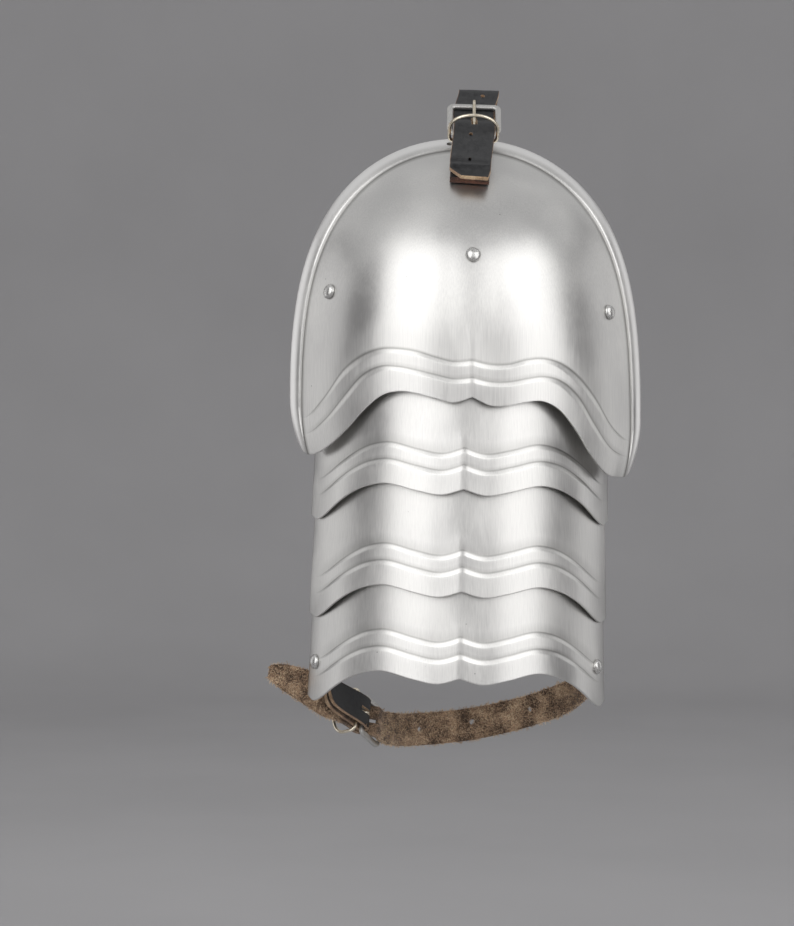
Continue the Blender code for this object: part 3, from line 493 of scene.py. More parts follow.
def link_piece(name: str, bm: BMesh, materials: Sequence[Material]) -> Object:
    """Turns a finished bmesh into an object at the origin.

    Args:
        name: the piece's name.
        bm: the mesh, which is freed.
        materials: its material slots in order.

    Returns:
        The object.
    """
    mesh = bpy.data.meshes.new(name)
    bm.to_mesh(mesh)
    bm.free()
    for material in materials:
        mesh.materials.append(material)
    piece = bpy.data.objects.new(name, mesh)
    bpy.context.scene.collection.objects.link(piece)
    return piece


def thicken(piece: Object, thickness: float, offset: float, far_side: int = 0,
            rim: int = 0) -> None:
    """Gives an open sheet its wall.

    Args:
        piece: the sheet.
        thickness: the wall.
        offset: -1 for a wall behind the sheet, 0 for one about its middle.
        far_side: which material the far side takes.
        rim: which material the cut edges take.
    """
    wall = piece.modifiers.new("wall", "SOLIDIFY")
    wall.thickness = thickness
    wall.offset = offset
    wall.use_even_offset = True
    wall.material_offset = far_side
    wall.material_offset_rim = rim


def round_edges(piece: Object, width: float, angle: float, segments: int = 2) -> None:
    """Rounds the edges that are sharper than an angle.

    Args:
        piece: the solid.
        width: how wide the rounding is.
        angle: in degrees.
        segments: how many faces it takes.
    """
    rounding = piece.modifiers.new("rounding", "BEVEL")
    rounding.width = width
    rounding.segments = segments
    rounding.limit_method = "ANGLE"
    rounding.angle_limit = math.radians(angle)


def settle(piece: Object) -> None:
    """Applies a piece's modifiers."""
    bpy.context.view_layer.update()
    shaped = piece.evaluated_get(bpy.context.evaluated_depsgraph_get())
    old = piece.data
    piece.data = bpy.data.meshes.new_from_object(shaped)
    piece.modifiers.clear()
    bpy.data.meshes.remove(old)
    piece.data.name = piece.name


def shade(piece: Object, angle: float = 38.0) -> None:
    """Shades a piece smooth except over edges sharper than an angle in degrees."""
    for polygon in piece.data.polygons:
        polygon.use_smooth = True
    piece.data.set_sharp_from_angle(angle=math.radians(angle))


def cut_away(piece: Object, bm: BMesh, material: int = 0) -> None:
    """Cuts holes or slots right through a piece.

    Args:
        piece: the solid, which is settled.
        bm: the cutters, which are freed.
        material: which of the piece's materials the new walls take.
    """
    for face in bm.faces:
        face.material_index = material
    cutter = link_piece(piece.name + "_cutter", bm, piece.data.materials[:])
    cut = piece.modifiers.new("cut", "BOOLEAN")
    cut.operation = "DIFFERENCE"
    cut.solver = "EXACT"
    cut.object = cutter
    settle(piece)
    bpy.data.objects.remove(cutter)


def hand_over(piece: Object, node: str) -> None:
    """Lets a piece stand for its CAD node and ride with the part.

    Args:
        piece: the finished piece.
        node: the CAD node.
    """
    shade(piece)
    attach(piece, "root")
    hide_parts(node)
    LOG.info("%s stands for %s: %d faces", piece.name, node, len(piece.data.polygons))


@dataclass(frozen=True)
class FlutedEdge:
    """A plate's waved lower edge, and the two flutes that follow it and step outwards."""

    rows: Tuple[Tuple[float, ...], ...]
    unit: float
    half_width: float
    step_height: float = 0.0012
    step_width: float = 0.0028
    fade: Tuple[float, float] = (0.84, 0.94)
    taper: Tuple[float, float] = (0.66, 0.93)
    taper_loss: float = 0.62
    steepest: float = 1.6
    slope_step: float = 0.02
    corner: float = 0.16
    # The painted shade in a flute's upper crease: how dark, where on the slope, and how far it reaches
    groove_shade: float = 0.62
    groove_shade_place: float = 0.06
    groove_shade_reach: float = 0.34

    def through_rows(self, column: str, across: float) -> float:
        """A smooth curve through one named column of the edge table.

        Args:
            column: one of EDGE_COLUMNS.
            across: a share of the half width.

        Returns:
            The column's value there.
        """
        value = EDGE_COLUMNS.index(column)
        across = min(1.0, max(0.0, across))
        last = len(self.rows) - 2
        start = min(last, max(i for i in range(len(self.rows) - 1) if self.rows[i][0] <= across))
        below, above = self.rows[start], self.rows[start + 1]
        before = self.rows[start - 1] if start > 0 else below
        after = self.rows[start + 2] if start < last else above
        run = above[0] - below[0]
        slope_in = (above[value] - before[value]) / (above[0] - before[0])
        slope_out = (after[value] - below[value]) / (after[0] - below[0])
        t = (across - below[0]) / run
        return ((2 * t ** 3 - 3 * t ** 2 + 1) * below[value] + (t ** 3 - 2 * t ** 2 + t) * run * slope_in
                + (3 * t ** 2 - 2 * t ** 3) * above[value] + (t ** 3 - t ** 2) * run * slope_out)

    def levels(self, across: float) -> Tuple[float, float, float]:
        """Heights above the cusp at one place across.

        Args:
            across: a signed share of the half width.

        Returns:
            The levels of the edge, of the lower flute and of the upper flute.
        """
        side = "back_edge" if across > 0 else "front_edge"
        edge = self.through_rows(side, abs(across)) * self.unit
        lower = edge + self.through_rows("lower_flute_above", abs(across)) * self.unit
        upper = edge + self.through_rows("upper_flute_above", abs(across)) * self.unit
        return edge, lower, upper

    def foot(self, across: float) -> float:
        """How far down a flute's slope reaches, which narrows to a point beside the sheet's sides.

        Args:
            across: a signed share of the half width.

        Returns:
            The slope's height.
        """
        step = self.slope_step
        sign = math.copysign(1.0, across)
        ahead = self.levels(min(1.0, abs(across) + step) * sign)[0]
        behind = self.levels(max(0.0, abs(across) - step) * sign)[0]
        steep = math.hypot(1.0, (ahead - behind) / (2.0 * step * self.half_width))
        narrowing = 1.0 - self.taper_loss * smooth_step(*self.taper, abs(across))
        return self.step_width * min(steep, self.steepest) * narrowing

    def strength(self, across: float) -> float:
        """How much of the flutes is left at a signed share across: 1, down to 0 beside the sides."""
        return 1.0 - smooth_step(*self.fade, abs(across))

    def slope(self, share: float) -> float:
        """A flute's profile from 0 above its slope to 1 below it, with small round corners.

        Args:
            share: how far down the slope, which runs from 0 to 1.

        Returns:
            How much of the step is reached.
        """
        corner = self.corner
        if share <= -corner:
            return 0.0
        if share < corner:
            return (share + corner) ** 2 / (4.0 * corner)
        if share <= 1.0 - corner:
            return share
        if share < 1.0 + corner:
            return 1.0 - (1.0 + corner - share) ** 2 / (4.0 * corner)
        return 1.0

    def stand_out(self, across: float, level: float) -> float:
        """How far the flutes carry the sheet outwards at a level above the cusp.

        Args:
            across: a signed share of the half width.
            level: the level above the cusp.

        Returns:
            The distance outwards.
        """
        _, lower, upper = self.levels(across)
        foot = self.foot(across)
        steps = self.slope((upper - level) / foot) + self.slope((lower - level) / foot)
        return self.step_height * steps * self.strength(across)

    def groove(self, across: float, row: int) -> float:
        """How much painted shade darkens the upper crease of a flute.

        Args:
            across: a signed share of the half width.
            row: a row of row_levels.

        Returns:
            A share that is 0 away from the creases.
        """
        flute, place = divmod(row - TOP_ROWS, len(ROW_SHARES) + len(FLAT_SHARES))
        if flute not in (0, 1) or place >= len(ROW_SHARES):
            return 0.0
        near = max(0.0, 1.0 - abs(ROW_SHARES[place] - self.groove_shade_place) / self.groove_shade_reach)
        return self.groove_shade * near * self.strength(across)

    def row_levels(self, across: float, top: float) -> List[float]:
        """The levels of a sheet's rows, close together on the flutes.

        Args:
            across: a signed share of the half width.
            top: the level of the sheet's top.

        Returns:
            The levels from the top down to the edge.
        """
        edge, lower, upper = self.levels(across)
        foot = self.foot(across)
        start = upper + self.corner * foot
        below = upper - (1.0 + self.corner) * foot
        rows = [top + (start - top) * i / TOP_ROWS for i in range(TOP_ROWS)]
        rows += [upper - share * foot for share in ROW_SHARES]
        rows += [below + (lower + 2.0 * self.corner * foot - upper + foot) * share for share in FLAT_SHARES]
        rows += [lower - share * foot for share in ROW_SHARES]
        last = rows[-1]
        rows += [last + (edge - last) * share for share in EDGE_SHARES]
        return rows


def crease(offset: float, sharp: float = 1.0, width: float = 0.0150, faint: float = 0.35) -> float:
    """The crease down the middle of each plate: crisp on the flutes and almost gone above them.

    Args:
        offset: how far to the side of the middle.
        sharp: 1 for the crisp crease, 0 for the faint one.
        width: how far it reaches to each side.
        faint: how much of the crisp crease's height the faint one has.

    Returns:
        How far it stands out.
    """
    share = min(1.0, abs(offset) / width)
    return CREASE_RISE * (sharp * (1.0 - share) ** 2 + (1.0 - sharp) * faint * (1.0 - share ** 2) ** 2)


def outward_at(surface: Callable[[float, float], Vector], across: float, along: float,
               step: float = 0.01) -> Vector:
    """The outward normal of a surface of two shares.

    Args:
        surface: gives a point from two shares.
        across: the first share.
        along: the second share.
        step: how far apart the points are taken.

    Returns:
        A unit vector towards the outer face.
    """
    over = surface(across + step, along) - surface(across - step, along)
    rise = surface(across, along + step) - surface(across, along - step)
    normal = over.cross(rise).normalized()
    return normal if normal.y < 0 else -normal


@dataclass
class ShoulderPlate:
    """The domed cap, with a flared border rolled over at its arch, and a fluted skirt."""

    half_width: float = 0.1020
    centre_x: float = -0.0075
    rim_y: float = -0.0024
    depth: float = 0.0745
    spring_rise: float = 0.0233
    arch_rise: float = 0.1320
    top_lean: float = 0.0220
    side_taper: float = 0.045
    yaw: float = math.radians(1.5)
    arch_roundness: float = 2.15
    dome_fullness: float = 2.3
    dome_reach: float = 0.92
    rim_band: float = 0.0140
    rim_flare: float = 0.0120
    bead_width: float = 0.0066
    bead_rise: float = 0.0022
    bead_round: float = 0.70
    bead_fillet: float = 1.22
    # The painted shade along the bead's foot: how dark, where across the bead, and how far it reaches
    groove_shade: float = 0.75
    groove_shade_place: float = 1.08
    groove_shade_reach: float = 0.30
    # Where the painted highlight on the bead's outer half fades out, across the bead
    rubbed_and_highlit: Tuple[float, float] = (-0.25, 0.45)
    crease_fade: float = 0.16
    join_rise: float = 0.35
    near_rim: float = 0.97
    inner_reach: float = 0.70
    cells: int = 80
    curl_angles: Tuple[float, ...] = (0.0, 20.0, 40.0, 62.0, 85.0, 108.0)
    hole_place: Tuple[float, float] = (-0.083, 0.966)
    hole_radius: float = 0.0019
    corner_roll: float = 0.8
    edge: FlutedEdge = field(init=False)

    def __post_init__(self) -> None:
        """Works out the fluted edge from the plate's own width."""
        self.edge = FlutedEdge(PLATE_EDGE_ROWS, self.spring_rise, self.half_width)

    def dome_share(self, reach: float) -> float:
        """1 in the middle of the dome and 0 at its rim.

        Args:
            reach: how far out, as a share of the way to the rim.

        Returns:
            The share of the dome's depth.
        """
        foot = math.sqrt(1.0 - self.dome_reach ** self.dome_fullness)
        swell = math.sqrt(1.0 - (self.dome_reach * min(1.0, reach)) ** self.dome_fullness)
        return (swell - foot) / (1.0 - foot)

    def bead_place(self, reach: float) -> float:
        """How far across the bead a reach lies: -1 at the rim and 1 at the bead's inner foot."""
        return 2.0 * (1.0 - reach) * self.half_width / self.bead_width - 1.0

    def rim_raise(self, reach: float, bead: float) -> float:
        """The flared band and the rolled bead beside the rim.

        Args:
            reach: how far out, as a share of the way to the rim.
            bead: how much of the bead's height counts.

        Returns:
            How far they stand out.
        """
        inset = (1.0 - reach) * self.half_width
        flare = self.rim_flare * max(0.0, 1.0 - inset / self.rim_band) ** 2
        from_middle = self.bead_place(reach)
        if from_middle < self.bead_round:
            swell = math.sqrt(max(0.0, 1.0 - from_middle ** 2))
        else:
            fall = (self.bead_fillet - from_middle) / (self.bead_fillet - self.bead_round)
            swell = math.sqrt(1.0 - self.bead_round ** 2) * max(0.0, fall) ** 1.6
        return flare + bead * self.bead_rise * swell

    def bead_groove(self, reach: float) -> float:
        """How much painted shade darkens the bead's foot."""
        near = 1.0 - abs(self.bead_place(reach) - self.groove_shade_place) / self.groove_shade_reach
        return self.groove_shade * max(0.0, near)

    def bead_highlight_share(self, reach: float) -> float:
        """How much painted highlight the bead's outer half has."""
        return 1.0 - smooth_step(*self.rubbed_and_highlit, self.bead_place(reach))

    def to_world(self, point: Vector) -> Vector:
        """From the plate's own frame to the pauldron's."""
        return Matrix.Rotation(self.yaw, 3, "Z") @ point + Vector((self.centre_x, 0.0, 0.0))

    def join_level(self, across: float) -> float:
        """The level between the arch and the fluted skirt, above the cusp."""
        return self.edge.levels(across)[2] + self.join_rise * self.spring_rise

    def arch_point(self, across: float, up: float, ridge: float = 1.0) -> Vector:
        """A point on the domed arch.

        Args:
            across: a signed share of the half width.
            up: a share of the arch's rise. The two stay inside a half disc whose round side is the rim.
            ridge: how much of the middle crease counts.

        Returns:
            The point on the outer face.
        """
        reach = math.hypot(across, up)
        if reach > 0.0:
            cosine, sine = abs(across) / reach, up / reach
            power = self.arch_roundness
            corner = (cosine ** power + sine ** power) ** (-1.0 / power)
            swell = 1.0 + (corner - 1.0) * reach ** 2
        else:
            swell = 1.0
        wide, high = across * swell, up * swell
        join = self.join_level(across)
        x = wide * self.half_width
        z = self.spring_rise + self.arch_rise * high + (join - self.spring_rise) * max(0.0, 1.0 - high) ** 4
        y = self.rim_y + self.top_lean * high ** 4 - self.depth * self.dome_share(reach)
        sharp = 1.0 - smooth_step(0.0, self.crease_fade, up)
        y -= self.rim_raise(reach, 1.0) + ridge * crease(x, sharp) * self.dome_share(reach)
        return self.to_world(Vector((x, y, PLATE_CUSP_Z + z)))

    def skirt_point(self, across: float, level: float) -> Vector:
        """A point on the fluted skirt, at a share across and a level above the cusp.

        Args:
            across: a signed share of the half width.
            level: the level above the cusp.

        Returns:
            The point on the outer face.
        """
        join = self.join_level(across)
        lower_edge = self.edge.levels(across)[0]
        fall = (join - level) / (join - lower_edge)
        x = across * self.half_width * (1.0 - self.side_taper * fall ** 2 * abs(across))
        y = self.rim_y - self.depth * self.dome_share(abs(across))
        y -= self.rim_raise(abs(across), 1.0 - 0.6 * fall) + crease(x)
        y -= self.edge.stand_out(across, level)
        return self.to_world(Vector((x, y, PLATE_CUSP_Z + level)))

    def curled(self, rim: Vector, inside: Vector, angle: float, scale: float) -> Vector:
        """A point on the edge that is rolled back behind the bead.

        Args:
            rim: the outermost point of the bead.
            inside: a point a little way in from it.
            angle: how far round the roll, in degrees.
            scale: the roll's size, which shrinks towards the lower corners.

        Returns:
            The point on the roll's outer face.
        """
        inward = Vector((inside.x - rim.x, 0.0, inside.z - rim.z)).normalized()
        turn = math.radians(angle)
        across = self.bead_width / 2 * (1.0 - math.cos(turn)) * scale
        return rim + inward * across + Vector((0.0, self.bead_rise * math.sin(turn) * scale, 0.0))

    def rings(self) -> List[float]:
        """The rings from the inner disc out to the rim, close together on the bead.

        Returns:
            The reach of each ring.
        """
        bead = self.bead_width / self.half_width
        band = self.rim_band / self.half_width
        start = 1.0 - band * 1.02
        wide = [self.inner_reach + (start - self.inner_reach) * i / 8 for i in range(8)]
        foot = 1.0 - bead * (1.0 + self.bead_fillet) / 2
        flare = [start + (foot - start) * i / 6 for i in range(6)]
        fillet = [foot + (1.0 - bead - foot) * i / 4 for i in range(4)]
        roll = [1.0 - bead * (1.0 + math.cos(math.pi * i / 16)) / 2 for i in range(17)]
        return wide + flare + fillet + roll

    def disc_corner(self, column: int, row: int, reach: float) -> Tuple[float, float]:
        """A corner of a square grid, squeezed into a half disc of the given reach.

        Args:
            column: the corner's column.
            row: its row.
            reach: the half disc's radius.

        Returns:
            Its shares across and up.
        """
        a = 2.0 * column / self.cells - 1.0
        b = 2.0 * row / self.cells
        return reach * a * math.sqrt(1.0 - b * b / 2.0), reach * b * math.sqrt(1.0 - a * a / 2.0)

    def add_arch(self, bm: BMesh) -> None:
        """Adds the arch: a square grid inside, and rings out to the rim and round the roll behind it.

        Args:
            bm: the sheet, which has the layers of painted groove shade and painted bead highlight.
        """
        cells, rings, curl = self.cells, self.rings(), self.curl_angles[1:]
        groove, polish = bm.verts.layers.float["groove"], bm.verts.layers.float["polish"]
        add_grid(bm, cells, cells // 2,
                 lambda c, r: self.arch_point(*self.disc_corner(c, r, self.inner_reach)))
        border = [(cells, r) for r in range(cells // 2 + 1)]
        border += [(cells - c, cells // 2) for c in range(1, cells + 1)]
        border += [(0, cells // 2 - r) for r in range(1, cells // 2 + 1)]

        def place(column: int, row: int) -> Vector:
            """A corner of the rings, or of the roll behind them.

            Args:
                column: the corner's column.
                row: its row.

            Returns:
                Its point.
            """
            x, z = self.disc_corner(*border[column], 1.0)
            if row < len(rings):
                return self.arch_point(x * rings[row], z * rings[row])
            rim, inside = self.arch_point(x, z), self.arch_point(x * self.near_rim, z * self.near_rim)
            return self.curled(rim, inside, curl[row - len(rings)], 1.0)

        # Each corner takes its painted groove shade and its painted bead highlight, which covers the whole
        # roll
        for vertex, _, row in add_grid(bm, len(border) - 1, len(rings) + len(curl) - 1, place):
            vertex[groove] = self.bead_groove(rings[row]) if row < len(rings) else 0.0
            vertex[polish] = self.bead_highlight_share(rings[row]) if row < len(rings) else 1.0

    def add_skirt(self, bm: BMesh) -> None:
        """Adds the fluted skirt and the roll beside it, column for column below the arch.

        Args:
            bm: the sheet, which has the layers of painted groove shade and painted bead highlight.
        """
        curl = self.curl_angles[1:]
        groove, polish = bm.verts.layers.float["groove"], bm.verts.layers.float["polish"]
        middle = [self.inner_reach * (2.0 * c / self.cells - 1.0) for c in range(self.cells + 1)]
        outer = self.rings()[1:] + [1.0 + number + 1 for number in range(len(curl))]
        columns = [-reach for reach in reversed(outer)] + middle + outer
        row_count = len(self.edge.row_levels(0.0, self.join_level(0.0)))

        def row_point(across: float, row: int) -> Vector:
            """A point of a row, at a share across."""
            return self.skirt_point(across, self.edge.row_levels(across, self.join_level(across))[row])

        def place(column: int, row: int) -> Vector:
            """A corner of the skirt, or of the roll beside it.

            Args:
                column: the corner's column.
                row: its row.

            Returns:
                Its point.
            """
            across = columns[column]
            sign = math.copysign(1.0, across)
            point = row_point(sign * min(1.0, abs(across)), row)
            if abs(across) <= 1.0:
                return point
            inside = row_point(self.near_rim * sign, row)
            inside.z = point.z
            size = 1.0 - self.corner_roll * row / (row_count - 1)
            return self.curled(point, inside, curl[round(abs(across)) - 2], size)

        # Each corner takes painted shade at the bead's foot and in the flutes' creases, and its painted bead
        # highlight
        for vertex, column, row in add_grid(bm, len(columns) - 1, row_count - 1, place):
            across = columns[column]
            vertex[groove] = max(self.bead_groove(abs(across)), self.edge.groove(across, row))
            vertex[polish] = self.bead_highlight_share(abs(across))

    def drill(self, piece: Object) -> None:
        """Drills the spare hole through the bead.

        Args:
            piece: the settled plate.
        """
        bm = bmesh.new()
        turn = outward_at(self.arch_point, *self.hole_place).to_track_quat("Z", "Y").to_matrix().to_4x4()
        matrix = Matrix.Translation(self.arch_point(*self.hole_place)) @ turn
        bmesh.ops.create_cone(bm, cap_ends=True, segments=24, radius1=self.hole_radius,
                              radius2=self.hole_radius, depth=6.0 * STEEL, matrix=matrix)
        cut_away(piece, bm)

    def build(self, finishes: Finishes) -> None:
        """Builds the plate from its arch and its skirt, with its wall, its cut edges and its hole.

        Args:
            finishes: the materials.
        """
        bm = bmesh.new()
        # Layers for the painted groove shade and the painted bead highlight
        bm.verts.layers.float.new("groove")
        bm.verts.layers.float.new("polish")
        self.add_arch(bm)
        self.add_skirt(bm)
        face_outwards(bm, lambda point: Vector((0.0, -1.0, 0.0)))
        piece = link_piece("shoulder_plate_sheet", bm, [finishes.steel])
        thicken(piece, STEEL, -1.0)
        round_edges(piece, 0.0003, 55.0)
        settle(piece)
        self.drill(piece)
        hand_over(piece, "shoulder_plate")


@dataclass
class Lame:
    """One lame: a third of a tube with two flutes and a waved edge."""

    index: int
    centre_x: float = -0.0102
    rim_y: float = -0.0150
    height: float = 0.0740
    top_half_width: float = 0.0832
    side_flare: float = 0.0030
    top_depth: float = 0.0570
    depth_flare: float = 0.0048
    roll: float = math.radians(1.2)
    top_corner: float = 0.0080
    crease_fade: float = 0.0140
    flute_fade: Tuple[float, float] = (0.74, 0.97)
    spread: float = math.radians(70.0)
    cells: int = 96
    edge: FlutedEdge = field(init=False)

    def __post_init__(self) -> None:
        """Works out the fluted edge from the lame's own height."""
        self.edge = FlutedEdge(LAME_EDGE_ROWS, self.height, self.top_half_width, fade=self.flute_fade)

    @property
    def name(self) -> str:
        """The lame's CAD node."""
        return LAME_NAMES[self.index]

    def cusp_level(self, index: int) -> float:
        """The height of a lame's middle cusp."""
        return PLATE_CUSP_Z - sum(LAME_PITCHES[:index + 1])

    def top_level(self, across: float) -> float:
        """The height of the lame's top above its cusp, with its corners cut down."""
        return self.height - self.top_corner * abs(across) ** 6

    def point(self, across: float, down: float, inset: float = 0.0, ridge: float = 1.0,
              fluted: bool = False) -> Vector:
        """A point on the lame.

        Args:
            across: a signed share of the half width.
            down: a share of the way from the top to the edge.
            inset: how far in from the outer face.
            ridge: how much of the middle crease counts.
            fluted: whether the flutes count.

        Returns:
            The point in the pauldron's frame.
        """
        top = self.top_level(across)
        level = top + (self.edge.levels(across)[0] - top) * down
        half_width = self.top_half_width + self.side_flare * down
        depth = self.top_depth + self.depth_flare * down
        radius = (half_width ** 2 + depth ** 2) / (2.0 * depth)
        x = across * half_width
        outward = Vector((x, -math.sqrt(radius ** 2 - x ** 2), 0.0)) / radius
        flutes = self.edge.stand_out(across, level) if fluted else 0.0
        upper = self.edge.levels(across)[2]
        sharp = 1.0 - smooth_step(upper, upper + self.crease_fade, level)
        point = outward * (radius + ridge * crease(x, sharp) + flutes - inset)
        point.y += radius - depth
        point.z = level + self.cusp_level(self.index) - self.cusp_level(0)
        rolled = Matrix.Rotation(self.roll, 3, "Y") @ point
        return rolled + Vector((self.centre_x, self.rim_y, self.cusp_level(0)))

    def build(self, finishes: Finishes) -> None:
        """Builds the sheet, its wall and its rounded cut edges.

        Args:
            finishes: the materials.
        """
        row_count = len(self.edge.row_levels(0.0, self.height))
        bm = bmesh.new()

        def place(column: int, row: int) -> Vector:
            """A corner of the sheet.

            Args:
                column: the corner's column.
                row: its row.

            Returns:
                Its point.
            """
            across = math.sin(self.spread * (2.0 * column / self.cells - 1.0)) / math.sin(self.spread)
            top = self.top_level(across)
            level = self.edge.row_levels(across, top)[row]
            down = (top - level) / (top - self.edge.levels(across)[0])
            return self.point(across, down, fluted=True)

        # The painted shade in the flutes' creases
        groove = bm.verts.layers.float.new("groove")
        for vertex, column, row in add_grid(bm, self.cells, row_count - 1, place):
            vertex[groove] = self.edge.groove(2.0 * column / self.cells - 1.0, row)
        face_outwards(bm, lambda point: Vector((point.x - self.centre_x, point.y, 0.0)))
        piece = link_piece(self.name + "_sheet", bm, [finishes.steel])
        thicken(piece, STEEL, -1.0)
        round_edges(piece, 0.0003, 55.0)
        settle(piece)
        hand_over(piece, self.name)


@dataclass(frozen=True)
class RivetShape:
    """A rivet turned from its profile: the head outside, the shank, and the washer inside."""

    head: HeadShape
    shank_radius: float = 0.0016
    washer_radius: float = 0.0038
    washer_thickness: float = 0.0008
    steps: int = 40
    head_steps: int = 9
    wobble: float = 0.00012
    lump_width: float = 2.2 * MILLIMETRE

    @property
    def head_radius(self) -> float:
        """The head's radius."""
        return self.head.value[0]

    @property
    def head_height(self) -> float:
        """How high the head stands over its seat."""
        return self.head.value[1]

    def build(self, name: str, centre: Vector, direction: Vector, grip: float, finishes: Finishes) -> None:
        """Turns one rivet and sets it in its place.

        Args:
            name: its CAD node.
            centre: its seat on the outer face.
            direction: outwards.
            grip: how much its head and washer hold between them.
            finishes: the materials.
        """
        bm = bmesh.new()
        profile = []
        for i in range(self.head_steps + 1):
            angle = math.pi / 2 * i / self.head_steps
            profile.append((self.head_radius * math.sin(angle), GAP + self.head_height * math.cos(angle)))
        # The head's underside is drawn in a little, then come the shank and the washer
        profile += [(self.head_radius * 0.985, GAP * 0.4), (self.shank_radius, GAP * 0.4),
                    (self.shank_radius, -grip), (self.washer_radius, -grip),
                    (self.washer_radius, -grip - self.washer_thickness), (0.0, -grip - self.washer_thickness)]
        vertices = [bm.verts.new((radius, 0.0, height)) for radius, height in profile]
        edges = [bm.edges.new(pair) for pair in zip(vertices, vertices[1:])]
        bmesh.ops.spin(bm, geom=vertices + edges, cent=(0.0, 0.0, 0.0), axis=(0.0, 0.0, 1.0),
                       angle=2.0 * math.pi, steps=self.steps, use_merge=True)
        bmesh.ops.remove_doubles(bm, verts=bm.verts, dist=1e-6)
        bmesh.ops.recalc_face_normals(bm, faces=bm.faces)
        turn = direction.to_track_quat("Z", "Y").to_matrix().to_4x4()
        for vertex in bm.verts:
            if vertex.co.z > 0.0:
                lumps = noise.noise((vertex.co + centre) / self.lump_width)
                vertex.co += vertex.co.normalized() * self.wobble * lumps
        bm.transform(Matrix.Translation(centre) @ turn)
        piece = link_piece(name + "_turned", bm, [finishes.rivet])
        hand_over(piece, name)


def smooth_stations(stations: Sequence[Station], count: int) -> List[Station]:
    """Evenly counted stations on a smooth curve through the given ones.

    Args:
        stations: points with their side vectors and half widths.
        count: how many steps the result has.

    Returns:
        The finer stations.
    """
    spans = len(stations) - 1
    result = []
    for i in range(count + 1):
        place = min(spans - 1e-9, spans * i / count)
        start = int(place)
        t = place - start
        near = [stations[min(spans, max(0, start + k))] for k in (-1, 0, 1, 2)]
        weights = ((-t ** 3 + 2 * t ** 2 - t) / 2, (3 * t ** 3 - 5 * t ** 2 + 2) / 2,
                   (-3 * t ** 3 + 4 * t ** 2 + t) / 2, (t ** 3 - t ** 2) / 2)
        point = sum((w * s[0] for w, s in zip(weights, near)), Vector())
        side = sum((w * s[1] for w, s in zip(weights, near)), Vector()).normalized()
        width = (1.0 - t) * near[1][2] + t * near[2][2]
        result.append((point, side, width))
    return result


def folded_stations(path: Sequence[Station], start_gap: float, bar_gap: float,
                    fold_steps: int) -> List[Station]:
    """A chape's route: down one side of its path, round the buckle's bar, and back on the other side.

    Args:
        path: the middle of the two leaves, from the rivet to the bar.
        start_gap: how far each leaf stands from the middle at the rivet.
        bar_gap: the same at the bar.
        fold_steps: how many steps the fold takes.

    Returns:
        The stations of the whole leather.
    """
    squared = []
    last = len(path) - 1
    for i, (point, side, half_width) in enumerate(path):
        along = (path[min(last, i + 1)][0] - path[max(0, i - 1)][0]).normalized()
        square = (side - along * side.dot(along)).normalized()
        squared.append((point, square, half_width, along.cross(square)))
    gaps = [start_gap + (bar_gap - start_gap) * smooth_step(0.35, 1.0, i / last) for i in range(last + 1)]
    out = [(p + n * g, s, w) for (p, s, w, n), g in zip(squared, gaps)]
    back = [(p - n * g, s, w) for (p, s, w, n), g in zip(squared, gaps)]
    bar, side, half_width, normal = squared[-1]
    along = side.cross(normal) if side.cross(normal).dot(bar - squared[-2][0]) > 0 else normal.cross(side)
    fold = []
    for i in range(1, fold_steps):
        angle = math.pi * i / fold_steps
        fold.append((bar + (normal * math.cos(angle) + along * math.sin(angle)) * bar_gap, side, half_width))
    return out + fold + back[::-1]


@dataclass(frozen=True)
class PunchedHole:
    """A hole through a strap, placed by a share along its route and a share across it."""

    along: float
    across: float
    radius: float = 0.0017


